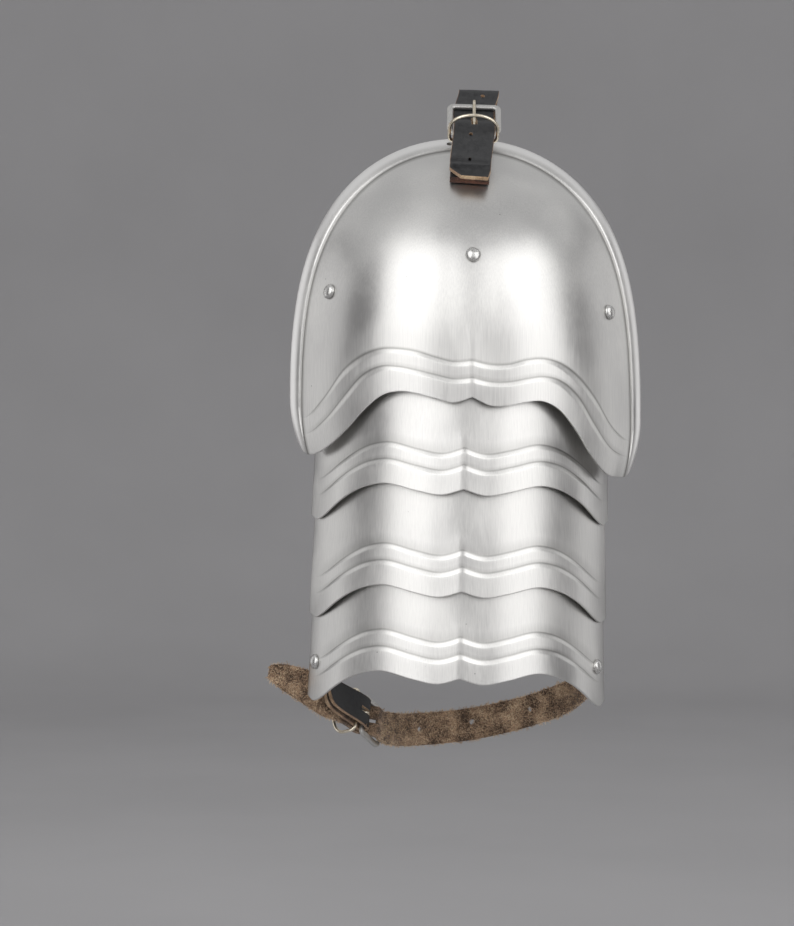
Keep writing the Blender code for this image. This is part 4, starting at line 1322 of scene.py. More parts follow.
@dataclass
class Leather:
    """A flat leather along a route, with its grain, its flesh side and its cut edges."""

    name: str
    thickness: float
    own_side: LeatherFace = LeatherFace.FLESH
    columns: int = 20
    ripple: float = 0.00016
    nap: float = 0.0
    clip: Tuple[float, float, float] = (0.0, 0.0, 0.0)
    holes: Tuple[PunchedHole, ...] = ()
    slot_width: float = 0.0
    slot_cells: int = 4
    ripple_width: float = 9.0 * MILLIMETRE
    fray: float = 0.00013
    fray_width: float = 1.6 * MILLIMETRE
    nap_width: float = 1.1 * MILLIMETRE

    def build(self, stations: Sequence[Station], edge: Material, finishes: Finishes,
              slot: Optional[Callable[[Vector], bool]] = None) -> Object:
        """Builds the leather.

        Args:
            stations: its route.
            edge: the material of its cut edges.
            finishes: the other materials.
            slot: tells which points lie along its slot, where it has one.

        Returns:
            The settled piece. Its materials are its own side, its far side and its cut edges.
        """
        lengths = [0.0]
        for (before, _, _), (after, _, _) in zip(stations, stations[1:]):
            lengths.append(lengths[-1] + (after - before).length)
        clip_length, left_cut, right_cut = self.clip

        def place(column: int, row: int) -> Vector:
            """A corner of the middle surface, with the free end's corners clipped.

            Args:
                column: the corner's column.
                row: its row.

            Returns:
                Its point.
            """
            point, side, half_width = stations[row]
            share = self.share_across(column, half_width)
            left, right = -half_width, half_width
            to_tip = lengths[-1] - lengths[row]
            if to_tip < clip_length:
                left += left_cut * (1.0 - to_tip / clip_length)
                right -= right_cut * (1.0 - to_tip / clip_length)
            return point + side * (left + (right - left) * share)

        bm = bmesh.new()
        border = bm.verts.layers.float.new("border")
        across = {}
        for vertex, column, _ in add_grid(bm, self.columns, len(stations) - 1, place):
            across[vertex] = 2.0 * column / self.columns - 1.0
            vertex[border] = abs(across[vertex])
        if slot is not None:
            reach = (self.slot_cells + 0.5) / self.columns
            opened = [face for face in bm.faces if slot(face.calc_center_median())
                      and all(abs(across[vertex]) < reach for vertex in face.verts)]
            bmesh.ops.delete(bm, geom=opened, context="FACES")
        own, far = finishes.flesh, finishes.grain
        if self.own_side is LeatherFace.GRAIN:
            own, far = far, own
        piece = link_piece(self.name, bm, [own, far, edge])
        thicken(piece, self.thickness, 0.0, FAR, CUT)
        round_edges(piece, 0.00035, 50.0)
        settle(piece)
        if self.holes:
            self.punch(piece, stations)
        self.roughen(piece)
        return piece

    def share_across(self, column: int, half_width: float) -> float:
        """How far across a column lies, with a few columns that just span the slot.

        Args:
            column: the column.
            half_width: half the leather's width there.

        Returns:
            The share from 0 to 1.
        """
        if self.slot_width == 0.0:
            return column / self.columns
        slot = self.slot_width / (2.0 * half_width)
        beside = (self.columns - self.slot_cells) // 2
        if column <= beside:
            return (1.0 - slot) / 2 * column / beside
        if column >= self.columns - beside:
            return 1.0 - (1.0 - slot) / 2 * (self.columns - column) / beside
        return 0.5 + slot * ((column - beside) / self.slot_cells - 0.5)

    def roughen(self, piece: Object) -> None:
        """Gives the leather its slight ripples, its uneven cut edges and the nap of its flesh side.

        Args:
            piece: the settled leather.
        """
        own_nap = self.nap if self.own_side is LeatherFace.FLESH else 0.0
        bm = bmesh.new()
        bm.from_mesh(piece.data)
        bm.normal_update()
        for vertex in bm.verts:
            kinds = {face.material_index for face in vertex.link_faces}
            shift = self.ripple * noise.noise(vertex.co / self.ripple_width)
            if CUT in kinds:
                shift += self.fray * noise.noise(vertex.co / self.fray_width)
            elif OWN in kinds:
                shift += own_nap * noise.fractal(vertex.co / self.nap_width, 0.6, 2.1, 4)
            vertex.co += vertex.normal * shift
        bm.to_mesh(piece.data)
        bm.free()

    def punch(self, piece: Object, stations: Sequence[Station]) -> None:
        """Punches the strap's holes.

        Args:
            piece: the settled leather.
            stations: its route.
        """
        bm = bmesh.new()
        last = len(stations) - 1
        for hole in self.holes:
            row = min(last - 1, max(1, round(hole.along * last)))
            point, side, half_width = stations[row]
            along = (stations[row + 1][0] - stations[row - 1][0]).normalized()
            through = side.cross(along).normalized()
            turn = through.to_track_quat("Z", "Y").to_matrix().to_4x4()
            centre = point + side * half_width * hole.across
            bmesh.ops.create_cone(bm, cap_ends=True, segments=20, radius1=hole.radius, radius2=hole.radius,
                                  depth=3.0 * self.thickness, matrix=Matrix.Translation(centre) @ turn)
        cut_away(piece, bm, CUT)


@dataclass(frozen=True)
class LooseFibres:
    """Curled fibres that stand off a flesh side, as short closed strands."""

    count: int = 3500
    length: Tuple[float, float] = (1.4 * MILLIMETRE, 3.2 * MILLIMETRE)
    # Real fibres are a few hundredths of a millimetre thick, too fine to show, so they are drawn thicker
    radius: float = 0.16 * MILLIMETRE
    joints: int = 4
    stiffness: float = 2.0
    curl: float = 1.3
    rise: float = 0.25
    lift: float = 1.6
    bare_radius: float = 0.016
    seed: int = 11

    def grow(self, piece: Object, material: Material, bare: Vector) -> None:
        """Adds the strands to a leather whose flesh side and cut edges carry them.

        Args:
            piece: the settled leather.
            material: the strands' material, which becomes the piece's last.
            bare: the middle of a place without strands.
        """
        chooser = random.Random(self.seed)
        bm = bmesh.new()
        bm.from_mesh(piece.data)
        faces = [face for face in bm.faces if face.material_index != FAR
                 and (face.calc_center_median() - bare).length > self.bare_radius]
        curve = bpy.data.curves.new(piece.name + "_fibres", "CURVE")
        curve.dimensions = "3D"
        curve.bevel_depth = self.radius
        curve.bevel_resolution = 0
        curve.use_fill_caps = True
        for face in chooser.choices(faces, [face.calc_area() for face in faces], k=self.count):
            step = chooser.uniform(*self.length) / self.joints
            corners = [vertex.co for vertex in face.verts]
            root = corners[0].lerp(corners[2], chooser.random()).lerp(corners[1], chooser.random() * 0.5)
            point = root - face.normal * self.radius
            way = (Vector([chooser.gauss(0.0, 1.0) for _ in range(3)]).normalized()
                   + face.normal * self.rise).normalized()
            strand = curve.splines.new("POLY")
            strand.points.add(self.joints)
            for joint in strand.points:
                joint.co = (*point, 1.0)
                bend = Vector([chooser.gauss(0.0, 1.0) for _ in range(3)]) * self.curl
                way = (way * self.stiffness + bend).normalized()
                if (point - root).dot(face.normal) < self.radius and way.dot(face.normal) < 0.0:
                    way -= face.normal * self.lift * way.dot(face.normal)
                point = point + way * step
        strands = bpy.data.objects.new(curve.name, curve)
        bpy.context.scene.collection.objects.link(strands)
        bpy.context.view_layer.update()
        mesh = bpy.data.meshes.new_from_object(strands.evaluated_get(bpy.context.evaluated_depsgraph_get()))
        for polygon in mesh.polygons:
            polygon.material_index = len(piece.data.materials)
        bm.from_mesh(mesh)
        piece.data.materials.append(material)
        bm.to_mesh(piece.data)
        bm.free()
        bpy.data.objects.remove(strands)


def sweep(bm: BMesh, points: Sequence[Vector], across: Vector,
          outline: Callable[[Vector], Sequence[Tuple[float, float]]], closed: bool) -> None:
    """Sweeps an outline along a route that lies in one plane.

    Args:
        bm: the mesh to add to.
        points: the route.
        across: the plane's normal, along which the outline's second size runs.
        outline: gives the outline for a direction of the route, as sizes in the plane and across it.
        closed: whether the route closes on itself.
    """
    count = len(points)

    def place(column: int, row: int) -> Vector:
        """A corner of the swept skin.

        Args:
            column: the corner's column.
            row: its row.

        Returns:
            Its point.
        """
        at = row % count
        if closed:
            way = points[(at + 1) % count] - points[at - 1]
        else:
            way = points[min(count - 1, at + 1)] - points[max(0, at - 1)]
        way.normalize()
        shape = outline(way)
        wide, thick = shape[column % len(shape)]
        return points[at] + way.cross(across) * wide + across * thick

    size = len(outline(across.orthogonal()))
    add_grid(bm, size, count if closed else count - 1, place)
    bmesh.ops.remove_doubles(bm, verts=bm.verts, dist=1e-7)
    if not closed:
        bmesh.ops.holes_fill(bm, edges=bm.edges)
    bmesh.ops.recalc_face_normals(bm, faces=bm.faces)


def arc(centre: Vector, wide: Vector, high: Vector, start: float, end: float, steps: int) -> List[Vector]:
    """Points on a stretch of a circle or an ellipse.

    Args:
        centre: its middle.
        wide: from the middle to where its angle is 0.
        high: from the middle to where its angle is a quarter turn.
        start: where the stretch starts, in quarter turns.
        end: where it ends.
        steps: how many steps it takes.

    Returns:
        The points from the start to the end.
    """
    angles = [math.pi / 2 * (start + (end - start) * i / steps) for i in range(steps + 1)]
    return [centre + wide * math.cos(angle) + high * math.sin(angle) for angle in angles]


def round_outline(radius: float, sides: int = 18) -> List[Tuple[float, float]]:
    """The outline of a round wire."""
    return [(radius * math.cos(2.0 * math.pi * i / sides), radius * math.sin(2.0 * math.pi * i / sides))
            for i in range(sides)]


def frame_matrix(origin: Vector, across: Vector, along: Vector) -> Matrix:
    """A placing matrix whose X runs across and whose Y runs along.

    Args:
        origin: where it stands.
        across: its X.
        along: roughly its Y.

    Returns:
        The matrix.
    """
    across = across.normalized()
    along = (along - across * along.dot(across)).normalized()
    turn = Matrix((across, along, across.cross(along))).transposed().to_4x4()
    return Matrix.Translation(origin) @ turn


@dataclass
class Buckle:
    """A cast frame with its chape and wire tongue, and the loose wire ring for the strap's end."""

    name: str
    frame: Matrix
    strap_width: float
    length: float
    bar: float = 0.0026
    side: float = 0.0034
    frame_thickness: float = 0.0022
    chamfer: float = 0.0006
    tongue_radius: float = 0.0010
    ring_wire: float = 0.0010
    ring_width: float = 0.0276
    ring_corner: float = 0.00345
    frame_roundness: float = 0.85
    corner_steps: int = 8
    eye_steps: int = 24
    shaft_steps: int = 12
    back_steps: int = 16
    bow_steps: int = 32
    eye_turn: float = 285.0 / 90.0
    chape_straight: float = 0.0065
    chape_slot: float = 0.0070
    chape_ripple: float = 0.05 * MILLIMETRE
    fold_steps: int = 16
    strap_slot: float = 0.55

    @property
    def bar_corner(self) -> float:
        """From the middle of the bar to its corner."""
        return math.hypot(self.bar, self.frame_thickness) / 2

    def through(self) -> List[Vector]:
        """The strap's way: behind the far bar, up through the frame, and over the hinge bar and chape.

        Returns:
            The points of the way.
        """
        behind = -self.frame_thickness / 2 - GAP - STRAP_THICKNESS / 2
        over = self.bar_corner + 2 * self.tongue_radius + 3 * GAP + STRAP_THICKNESS / 2
        far = self.length - self.bar
        rows = ((far - GAP, behind - GAP), (far * 0.62, behind), (over * 1.04, over * 0.50),
                (over * 0.28, over), (-over * 0.80, over))
        return [self.frame @ Vector((0.0, along, face)) for along, face in rows]

    @property
    def slot_width(self) -> float:
        """The width of the slots that the tongue goes through."""
        return 2 * self.tongue_radius + 4 * GAP

    def slot(self, low: float, high: float) -> Callable[[Vector], bool]:
        """Tells which points of a leather lie along a slot.

        Args:
            low: where the slot starts, along the buckle from the middle of its hinge bar.
            high: where it ends.

        Returns:
            A test of a point.
        """
        deep = 2 * self.bar_corner + 2 * CHAPE_THICKNESS
        to_frame = self.frame.inverted()

        def inside(point: Vector) -> bool:
            """Whether the point is near the frame and between the slot's ends."""
            place = to_frame @ point
            return low < place.y < high and abs(place.z) < deep

        return inside

    def build_chape(self, path: Sequence[Station], steps: int, edge: Material,
                    finishes: Finishes) -> None:
        """Builds the folded leather that holds the hinge bar.

        Args:
            path: the middle of its two leaves, from the rivet to near the buckle.
            steps: how many steps each leaf takes.
            edge: the material of its cut edges.
            finishes: the other materials.
        """
        bar, turn = self.frame.translation, self.frame.to_3x3()
        side = turn @ Vector((1.0, 0.0, 0.0))
        half_width = path[-1][2]
        straight = bar - turn @ Vector((0.0, 1.0, 0.0)) * self.chape_straight
        middle = smooth_stations([*path, (straight, side, half_width), (bar, side, half_width)], steps)
        leaf = (CHAPE_THICKNESS + GAP) / 2
        fold = self.bar_corner + 2 * GAP + CHAPE_THICKNESS / 2
        leather = Leather(self.name + "_chape_fold", CHAPE_THICKNESS, ripple=self.chape_ripple,
                          slot_width=self.slot_width)
        piece = leather.build(folded_stations(middle, leaf, fold, self.fold_steps), edge, finishes,
                              self.slot(-self.chape_slot, self.chape_slot))
        hand_over(piece, self.name + "_chape")

    def build_frame(self, finishes: Finishes) -> None:
        """Builds the cast frame: flat faces, bevelled inside and out, with rounded corners.

        Args:
            finishes: the materials.
        """
        half = (self.strap_width + 3 * GAP + self.side) / 2
        low, high = 0.0, self.length - self.bar
        corner = self.side * self.frame_roundness
        wide, tall = Vector((corner, 0.0, 0.0)), Vector((0.0, corner, 0.0))
        points = []
        for x_sign, y, start in ((1, high - corner, 0), (-1, high - corner, 1), (-1, low + corner, 2),
                                 (1, low + corner, 3)):
            centre = Vector((x_sign * (half - corner), y, 0.0))
            points += arc(centre, wide, tall, start, start + 1, self.corner_steps)

        def outline(way: Vector) -> List[Tuple[float, float]]:
            """The bevelled section of a bar or a side.

            Args:
                way: the way the frame runs.

            Returns:
                The section's corners, across and up.
            """
            share = min(1.0, abs(way.y))
            wide = (self.bar + (self.side - self.bar) * share) / 2
            thick, cut = self.frame_thickness / 2, self.chamfer
            small = 0.35 * cut
            return [(-wide + cut, thick), (wide - small, thick), (wide, thick - small),
                    (wide, -thick + small), (wide - small, -thick), (-wide + small, -thick),
                    (-wide, -thick + small), (-wide, thick - cut)]

        bm = bmesh.new()
        sweep(bm, points, UP, outline, True)
        bm.transform(self.frame)
        piece = link_piece(self.name + "_frame_casting", bm, [finishes.casting])
        round_edges(piece, 0.00018, 25.0)
        settle(piece)
        hand_over(piece, self.name + "_frame")

    def build_tongue(self, finishes: Finishes) -> None:
        """Builds the wire tongue: an eye round the hinge bar, then a shaft that rests on the far bar.

        Args:
            finishes: the materials.
        """
        eye = self.bar_corner + GAP + self.tongue_radius
        points = arc(Vector(), Vector((0.0, eye, 0.0)), Vector((0.0, 0.0, eye)), 1 + self.eye_turn, 1,
                     self.eye_steps)
        rest = self.frame_thickness / 2 + GAP + self.tongue_radius
        for i in range(1, self.shaft_steps + 1):
            share = i / self.shaft_steps
            points.append(Vector((0.0, self.length * share, eye + (rest - eye) * share)))
        bm = bmesh.new()
        wire = round_outline(self.tongue_radius)
        sweep(bm, points, Vector((1.0, 0.0, 0.0)), lambda way: wire, False)
        bm.transform(self.frame)
        piece = link_piece(self.name + "_tongue_wire", bm, [finishes.wire])
        round_edges(piece, 0.0004, 60.0, 3)
        settle(piece)
        hand_over(piece, self.name + "_tongue")

    def build_ring(self, name: str, frame_of_ring: Matrix, length: float, finishes: Finishes) -> None:
        """Builds the D-shaped ring.

        Args:
            name: its CAD node.
            frame_of_ring: has the straight back along X and the round front up Y.
            length: from the back to the front.
            finishes: the materials.
        """
        half_width, corner = self.ring_width / 2, self.ring_corner
        inner, arc_start = half_width - corner, length * 0.5
        wide, tall = Vector((corner, 0.0, 0.0)), Vector((0.0, corner, 0.0))
        points = [Vector((inner * (2 * i / self.back_steps - 1.0), 0.0, 0.0))
                  for i in range(1, self.back_steps)]
        points += arc(Vector((inner, corner, 0.0)), wide, tall, -1, 0, 6)
        points += arc(Vector((0.0, arc_start, 0.0)), Vector((half_width, 0.0, 0.0)),
                      Vector((0.0, length - arc_start, 0.0)), 0, 2, self.bow_steps)
        points += arc(Vector((-inner, corner, 0.0)), wide, tall, 2, 3, 6)
        bm = bmesh.new()
        wire = round_outline(self.ring_wire)
        sweep(bm, points, UP, lambda way: wire, True)
        bm.transform(frame_of_ring)
        piece = link_piece(name + "_wire", bm, [finishes.wire])
        hand_over(piece, name)


@dataclass
class Hangers:
    """The leathers inside the plates, and the rivets that hold the plates on them."""

    plate: ShoulderPlate
    lames: List[Lame]
    width: float = 0.0220
    shoulder_places: Dict[str, Tuple[float, float]] = field(default_factory=lambda: {
        "front": (-0.765, 0.300), "centre": (0.010, 0.420), "back": (0.785, 0.262)})
    lame_places: Dict[str, Tuple[float, float]] = field(default_factory=lambda: {
        "front": (-0.84, 0.12), "centre": (0.0, 0.12), "back": (0.84, 0.12)})
    plate_shifts: Tuple[float, ...] = (0.09, 0.0, -0.09)
    lame_downs: Tuple[float, ...] = (-0.04, 0.12, 0.24)
    round_share: float = 0.93
    domed: RivetShape = RivetShape(HeadShape.DOMED)
    flush: RivetShape = RivetShape(HeadShape.FLUSH)

    def grip(self, place: str) -> float:
        """How much the rivets at a place hold: the sheet, the leather, and the crease in the middle."""
        return STEEL + HANGER_THICKNESS + 2 * GAP + (CREASE_RISE + GAP if place == "centre" else 0.0)

    def build_rivets(self, finishes: Finishes) -> None:
        """Sets the rivets of the shoulder plate and of each lame.

        Args:
            finishes: the materials.
        """
        for place, (across, up) in self.shoulder_places.items():
            normal = outward_at(self.plate.arch_point, across, up)
            self.domed.build("shoulder_rivet_" + place, self.plate.arch_point(across, up), normal,
                             self.grip(place), finishes)
        for lame in self.lames:
            for place, (across, down) in self.lame_places.items():
                normal = outward_at(lame.point, across, down)
                self.flush.build(f"{lame.name}_rivet_{place}", lame.point(across, down), normal,
                                 self.grip(place), finishes)

    def build_leather(self, place: str, finishes: Finishes) -> None:
        """Builds one leather: flat on the shoulder plate, then flat on the top of each lame.

        Args:
            place: which of the three.
            finishes: the materials.
        """
        outer = STEEL + GAP + HANGER_THICKNESS / 2
        across, up = self.shoulder_places[place]
        lame_across = self.lame_places[place][0]

        def arch_station(along: float) -> Station:
            """A station under the shoulder plate.

            Args:
                along: a share of the arch's rise.

            Returns:
                The station.
            """
            reach = self.width / 2 / self.plate.half_width * math.sqrt(1.0 - across ** 2)
            ends = []
            for shift in (-reach, reach):
                point = self.plate.arch_point(across + shift, along, 0.0)
                ends.append(point - outward_at(self.plate.arch_point, across + shift, along) * outer)
            middle = self.plate.arch_point(across, along, 0.0)
            middle -= outward_at(self.plate.arch_point, across, along) * outer
            return middle, (ends[1] - ends[0]).normalized(), self.width / 2

        def lame_station(lame: Lame, down: float) -> Station:
            """A station on the top of a lame.

            Args:
                lame: the lame.
                down: a share of the way down it.

            Returns:
                The station.
            """
            turned = math.sqrt(1.0 - (self.round_share * lame_across) ** 2)
            reach = self.width / 2 / lame.top_half_width * turned
            left = lame.point(lame_across - reach, down, outer, 0.0)
            right = lame.point(lame_across + reach, down, outer, 0.0)
            return lame.point(lame_across, down, outer, 0.0), (right - left).normalized(), self.width / 2

        rows = [arch_station(up + shift) for shift in self.plate_shifts]
        rows += [lame_station(lame, down) for lame in self.lames for down in self.lame_downs]
        stations = smooth_stations(rows, 8 * (len(rows) - 1))
        leather = Leather(place + "_leather_strip", HANGER_THICKNESS, LeatherFace.GRAIN, 12)
        piece = leather.build(stations, finishes.red_edge, finishes)
        hand_over(piece, place + "_leather")

    def build(self, finishes: Finishes) -> None:
        """Builds the leathers and their rivets."""
        for place in self.shoulder_places:
            self.build_leather(place, finishes)
        self.build_rivets(finishes)


@dataclass
class TopFastening:
    """The top strap's loop with its buckle, chape and keeper ring, and the rivet that holds them."""

    plate: ShoulderPlate
    width: float = 0.0236
    lean: float = 0.135
    buckle_lean: float = 0.030
    dome_curve: float = 0.0535
    hinge_bar: Tuple[float, float] = (-0.0239, -0.0196)
    buckle_rise: Tuple[float, float] = (0.6, 0.8)
    loop_route: Tuple[Tuple[float, float], ...] = (
        (0.0015, -0.0300), (0.0095, -0.0255), (0.0145, -0.0185), (0.0155, -0.0100),
        (0.0128, -0.0015), (0.0078, 0.0052), (0.0015, 0.0083), (-0.0042, 0.0050))
    front_route: Tuple[Tuple[float, float], ...] = ((-0.0340, -0.0265), (-0.0378, -0.0350))
    chape_rivet: float = 0.785
    chape_shifts: Tuple[float, ...] = (-0.035, 0.0, 0.045)
    chape_steps: int = 45
    inner_levels: Tuple[float, ...] = (0.725, 0.785, 0.85, 0.90)
    end_shifts: Tuple[float, ...] = (0.0, -0.055)
    span_steps: int = 11
    buckle_length: float = 0.0240
    ring_back: Tuple[float, float] = (-0.0278, -0.0250)
    ring_front: Tuple[float, float] = (-0.0400, -0.0120)
    tip_clip: Tuple[float, float, float] = (0.0078, 0.0068, 0.0012)
    holes: Tuple[PunchedHole, ...] = (
        PunchedHole(0.555, 0.22, 0.0011), PunchedHole(0.82, -0.16, 0.0011), PunchedHole(0.915, -0.05, 0.0010))
    rivet: RivetShape = RivetShape(HeadShape.FLUSH)

    @property
    def sag(self) -> float:
        """How far the round plate falls away from a flat strap's middle."""
        return self.width ** 2 / (8 * self.dome_curve)

    @property
    def stack(self) -> float:
        """From the plate's face to the middle between the chape's two leaves."""
        return 2 * GAP + CHAPE_THICKNESS + GAP / 2

    @property
    def rise(self) -> float:
        """From the plate's face to the top of the chape."""
        return self.stack + CHAPE_THICKNESS + GAP / 2

    @property
    def side(self) -> Vector:
        """The way across the buckle."""
        return Vector((1.0, 0.0, -self.buckle_lean)).normalized()

    @property
    def leaning_side(self) -> Vector:
        """The way across the strap, below the buckle."""
        return Vector((1.0, 0.0, -self.lean)).normalized()

    def line(self, y: float, z: float) -> Vector:
        """A point on the strap's plane, which leans as it comes down."""
        return Vector((self.lean * z, y, z))

    def on_plate(self, up: float, rise: float, half_width: float) -> Station:
        """A station of the strap's line that lies flat over or under the top of the shoulder plate.

        Args:
            up: a share of the arch's rise.
            rise: how far over the plate's face, or under it where negative.
            half_width: half the leather's width.

        Returns:
            The station.
        """
        level = PLATE_CUSP_Z + self.plate.spring_rise + self.plate.arch_rise * up
        across = (self.lean * level - self.plate.centre_x) / self.plate.half_width
        normal = outward_at(self.plate.arch_point, across, up)
        side = Vector((1.0, 0.0, -self.lean))
        side = (side - normal * side.dot(normal)).normalized()
        return self.plate.arch_point(across, up) + normal * rise, side, half_width

    def build_chape(self, buckle: Buckle, finishes: Finishes) -> None:
        """Builds the folded leather that holds the buckle's bar.

        Args:
            buckle: the buckle.
            finishes: the materials.
        """
        half = self.width / 2 - 2 * GAP
        path = [self.on_plate(self.chape_rivet + shift, self.stack, half) for shift in self.chape_shifts]
        lift = buckle.frame.to_3x3() @ Vector((0.0, 0.0, GAP * 3))
        path.append((path[-1][0].lerp(buckle.frame.translation, 0.35) + lift, self.leaning_side, half))
        buckle.build_chape(path, self.chape_steps, finishes.red_edge, finishes)

    def build_strap(self, buckle: Buckle, finishes: Finishes) -> None:
        """Builds the strap: up inside the plate, over in its loop, and down through the buckle to its tip.

        Args:
            buckle: the buckle.
            finishes: the materials.
        """
        half = self.width / 2
        over = self.rise + self.rivet.head_height + self.sag + STRAP_THICKNESS / 2
        below = -STEEL - GAP - STRAP_THICKNESS / 2 - self.sag
        route = [self.on_plate(up, below, half) for up in self.inner_levels]
        route += [(self.line(y, z), self.side, half) for y, z in self.loop_route]
        route += [(point, self.side, half) for point in buckle.through()]
        route += [(self.line(y, z), self.leaning_side, half) for y, z in self.front_route]
        route += [self.on_plate(self.chape_rivet + shift, over, half) for shift in self.end_shifts]
        strap = Leather("top_strap_strip", STRAP_THICKNESS, columns=28, clip=self.tip_clip,
                        slot_width=buckle.slot_width, holes=self.holes)
        stations = smooth_stations(route, self.span_steps * (len(route) - 1))
        slot = buckle.slot(0.0, buckle.strap_slot * buckle.length)
        hand_over(strap.build(stations, finishes.tan_edge, finishes, slot), "top_strap")

    def build_rivet(self, finishes: Finishes) -> None:
        """Builds the rivet through the chape, the plate and the strap's start.

        Args:
            finishes: the materials.
        """
        half = self.width / 2
        seat = self.on_plate(self.chape_rivet, 0.0, half)[0]
        normal = (self.on_plate(self.chape_rivet, self.stack, half)[0] - seat).normalized()
        grip = self.rise + STEEL + 3 * GAP + STRAP_THICKNESS + self.sag
        self.rivet.build("top_strap_rivet", seat + normal * self.rise, normal, grip, finishes)

    def build(self, finishes: Finishes) -> None:
        """Builds the chape, the strap, the buckle, its ring and the rivet.

        Args:
            finishes: the materials.
        """
        matrix = frame_matrix(self.line(*self.hinge_bar), self.side, Vector((0.0, *self.buckle_rise)))
        buckle = Buckle("top_buckle", matrix, self.width, self.buckle_length)
        self.build_chape(buckle, finishes)
        self.build_strap(buckle, finishes)
        buckle.build_frame(finishes)
        buckle.build_tongue(finishes)
        back, front = self.line(*self.ring_back), self.line(*self.ring_front)
        place = frame_matrix(back, self.side, front - back)
        buckle.build_ring("top_keeper_ring", place, (front - back).length, finishes)
        self.build_rivet(finishes)


@dataclass
class ArmFastening:
    """The chape with its buckle and ring at the front, and the strap round from the back rivet."""

    lame: Lame
    width: float = 0.0195
    sag: float = 0.0012
    hinge_bar: Tuple[float, float, float] = (-0.0670, 0.0080, -0.3578)
    bar_side: Tuple[float, float, float] = (0.08, 0.58, 0.81)
    buckle_way: Tuple[float, float, float] = (0.50, 0.68, -0.54)
    chape_slant: float = math.radians(30.0)
    chape_bend: Tuple[float, float, float] = (-0.0855, -0.0070, -0.3430)
    chape_shares: Tuple[float, ...] = (-0.75, 0.0, 0.75)
    chape_steps: int = 50
    buckle_length: float = 0.0210
    strap_route: Tuple[Tuple[float, float, float], ...] = (
        (0.0700, -0.0040, -0.3300), (0.0650, 0.0110, -0.3390), (0.0540, 0.0270, -0.3500),
        (0.0326, 0.0410, -0.3596), (0.0160, 0.0460, -0.3645), (-0.0012, 0.0480, -0.3682),
        (-0.0180, 0.0470, -0.3702), (-0.0329, 0.0415, -0.3706), (-0.0455, 0.0320, -0.3698))
    end_bend: Tuple[float, float, float] = (0.0010, -0.0115, 0.0092)
    end_side: Tuple[float, float, float] = (0.20, 0.28, 0.94)
    end_route: Tuple[Tuple[Tuple[float, float, float], float], ...] = (
        ((-0.0905, 0.0050, -0.3482), 1.00), ((-0.1015, 0.0058, -0.3412), 1.00),
        ((-0.1120, 0.0055, -0.3363), 0.80), ((-0.1180, 0.0048, -0.3338), 0.60),
        ((-0.1225, 0.0040, -0.3322), 0.38))
    ring_place: float = 0.0070
    ring_length: float = 0.0160
    front_rivet: Tuple[float, float] = (-0.955, 0.745)
    back_rivet: Tuple[float, float] = (0.935, 0.745)
    strap_start: float = 0.11
    span_steps: int = 19
    nap: float = 0.00022
    holes: Tuple[PunchedHole, ...] = (
        PunchedHole(0.271, 0.08), PunchedHole(0.364, 0.12), PunchedHole(0.456, 0.0))
    rivet: RivetShape = RivetShape(HeadShape.DOMED)

    @property
    def side(self) -> Vector:
        """The way across the buckle."""
        return Vector(self.bar_side).normalized()

    def build_chape(self, buckle: Buckle, finishes: Finishes) -> None:
        """Builds the folded leather that holds the buckle's bar, from the front rivet inside the lame.

        Args:
            buckle: the buckle.
            finishes: the materials.
        """
        half = self.width / 2
        stack = STEEL + GAP + CHAPE_THICKNESS + GAP / 2 + self.sag
        across, down = self.front_rivet
        seat = self.lame.point(across, down, stack)
        level = self.lame.point(across - 0.02, down, stack) - self.lame.point(across + 0.02, down, stack)
        level.normalize()
        wall = level * math.cos(self.chape_slant) + UP * math.sin(self.chape_slant)
        run = level * math.sin(self.chape_slant) - UP * math.cos(self.chape_slant)
        narrow = half - 2 * GAP
        path = [(seat + run * share * half, wall, narrow) for share in self.chape_shares]
        path.append((Vector(self.chape_bend), wall.lerp(self.side, 0.7), narrow))
        buckle.build_chape(path, self.chape_steps, finishes.tan_edge, finishes)

    def build_strap(self, buckle: Buckle, finishes: Finishes) -> None:
        """Builds the long strap, flesh side outwards, with its punched holes.

        Args:
            buckle: the buckle.
            finishes: the materials.
        """
        half = self.width / 2
        inset = STEEL + 2 * GAP + STRAP_THICKNESS / 2
        across, down = self.back_rivet
        rising = self.lame.point(across, down - 0.05, inset) - self.lame.point(across, down + 0.05, inset)
        rising.normalize()
        route = [(self.lame.point(place, down, inset), rising, half)
                 for place in (across - self.strap_start, across, 1.0)]
        route += [(Vector(point), UP, half) for point in self.strap_route]
        route += [(point, self.side, half) for point in buckle.through()]
        route.append((buckle.frame @ Vector(self.end_bend), self.side, half))
        end_side = Vector(self.end_side).normalized()
        route += [(Vector(point), end_side, half * share) for point, share in self.end_route]
        strap = Leather("arm_strap_strip", STRAP_THICKNESS, columns=30, nap=self.nap,
                        slot_width=buckle.slot_width, holes=self.holes)
        stations = smooth_stations(route, self.span_steps * (len(route) - 1))
        slot = buckle.slot(0.0, buckle.strap_slot * buckle.length)
        piece = strap.build(stations, finishes.flesh, finishes, slot)
        LooseFibres().grow(piece, finishes.fibre, buckle.frame.translation)
        hand_over(piece, "arm_strap")

    def build_rivets(self, finishes: Finishes) -> None:
        """Sets the front rivet through the chape and the back rivet through the strap.

        Args:
            finishes: the materials.
        """
        places = {"front": (self.front_rivet, 2 * CHAPE_THICKNESS + GAP + self.sag),
                  "back": (self.back_rivet, STRAP_THICKNESS)}
        for name, ((across, down), held) in places.items():
            self.rivet.build("arm_rivet_" + name, self.lame.point(across, down),
                             outward_at(self.lame.point, across, down), STEEL + held + 4 * GAP, finishes)

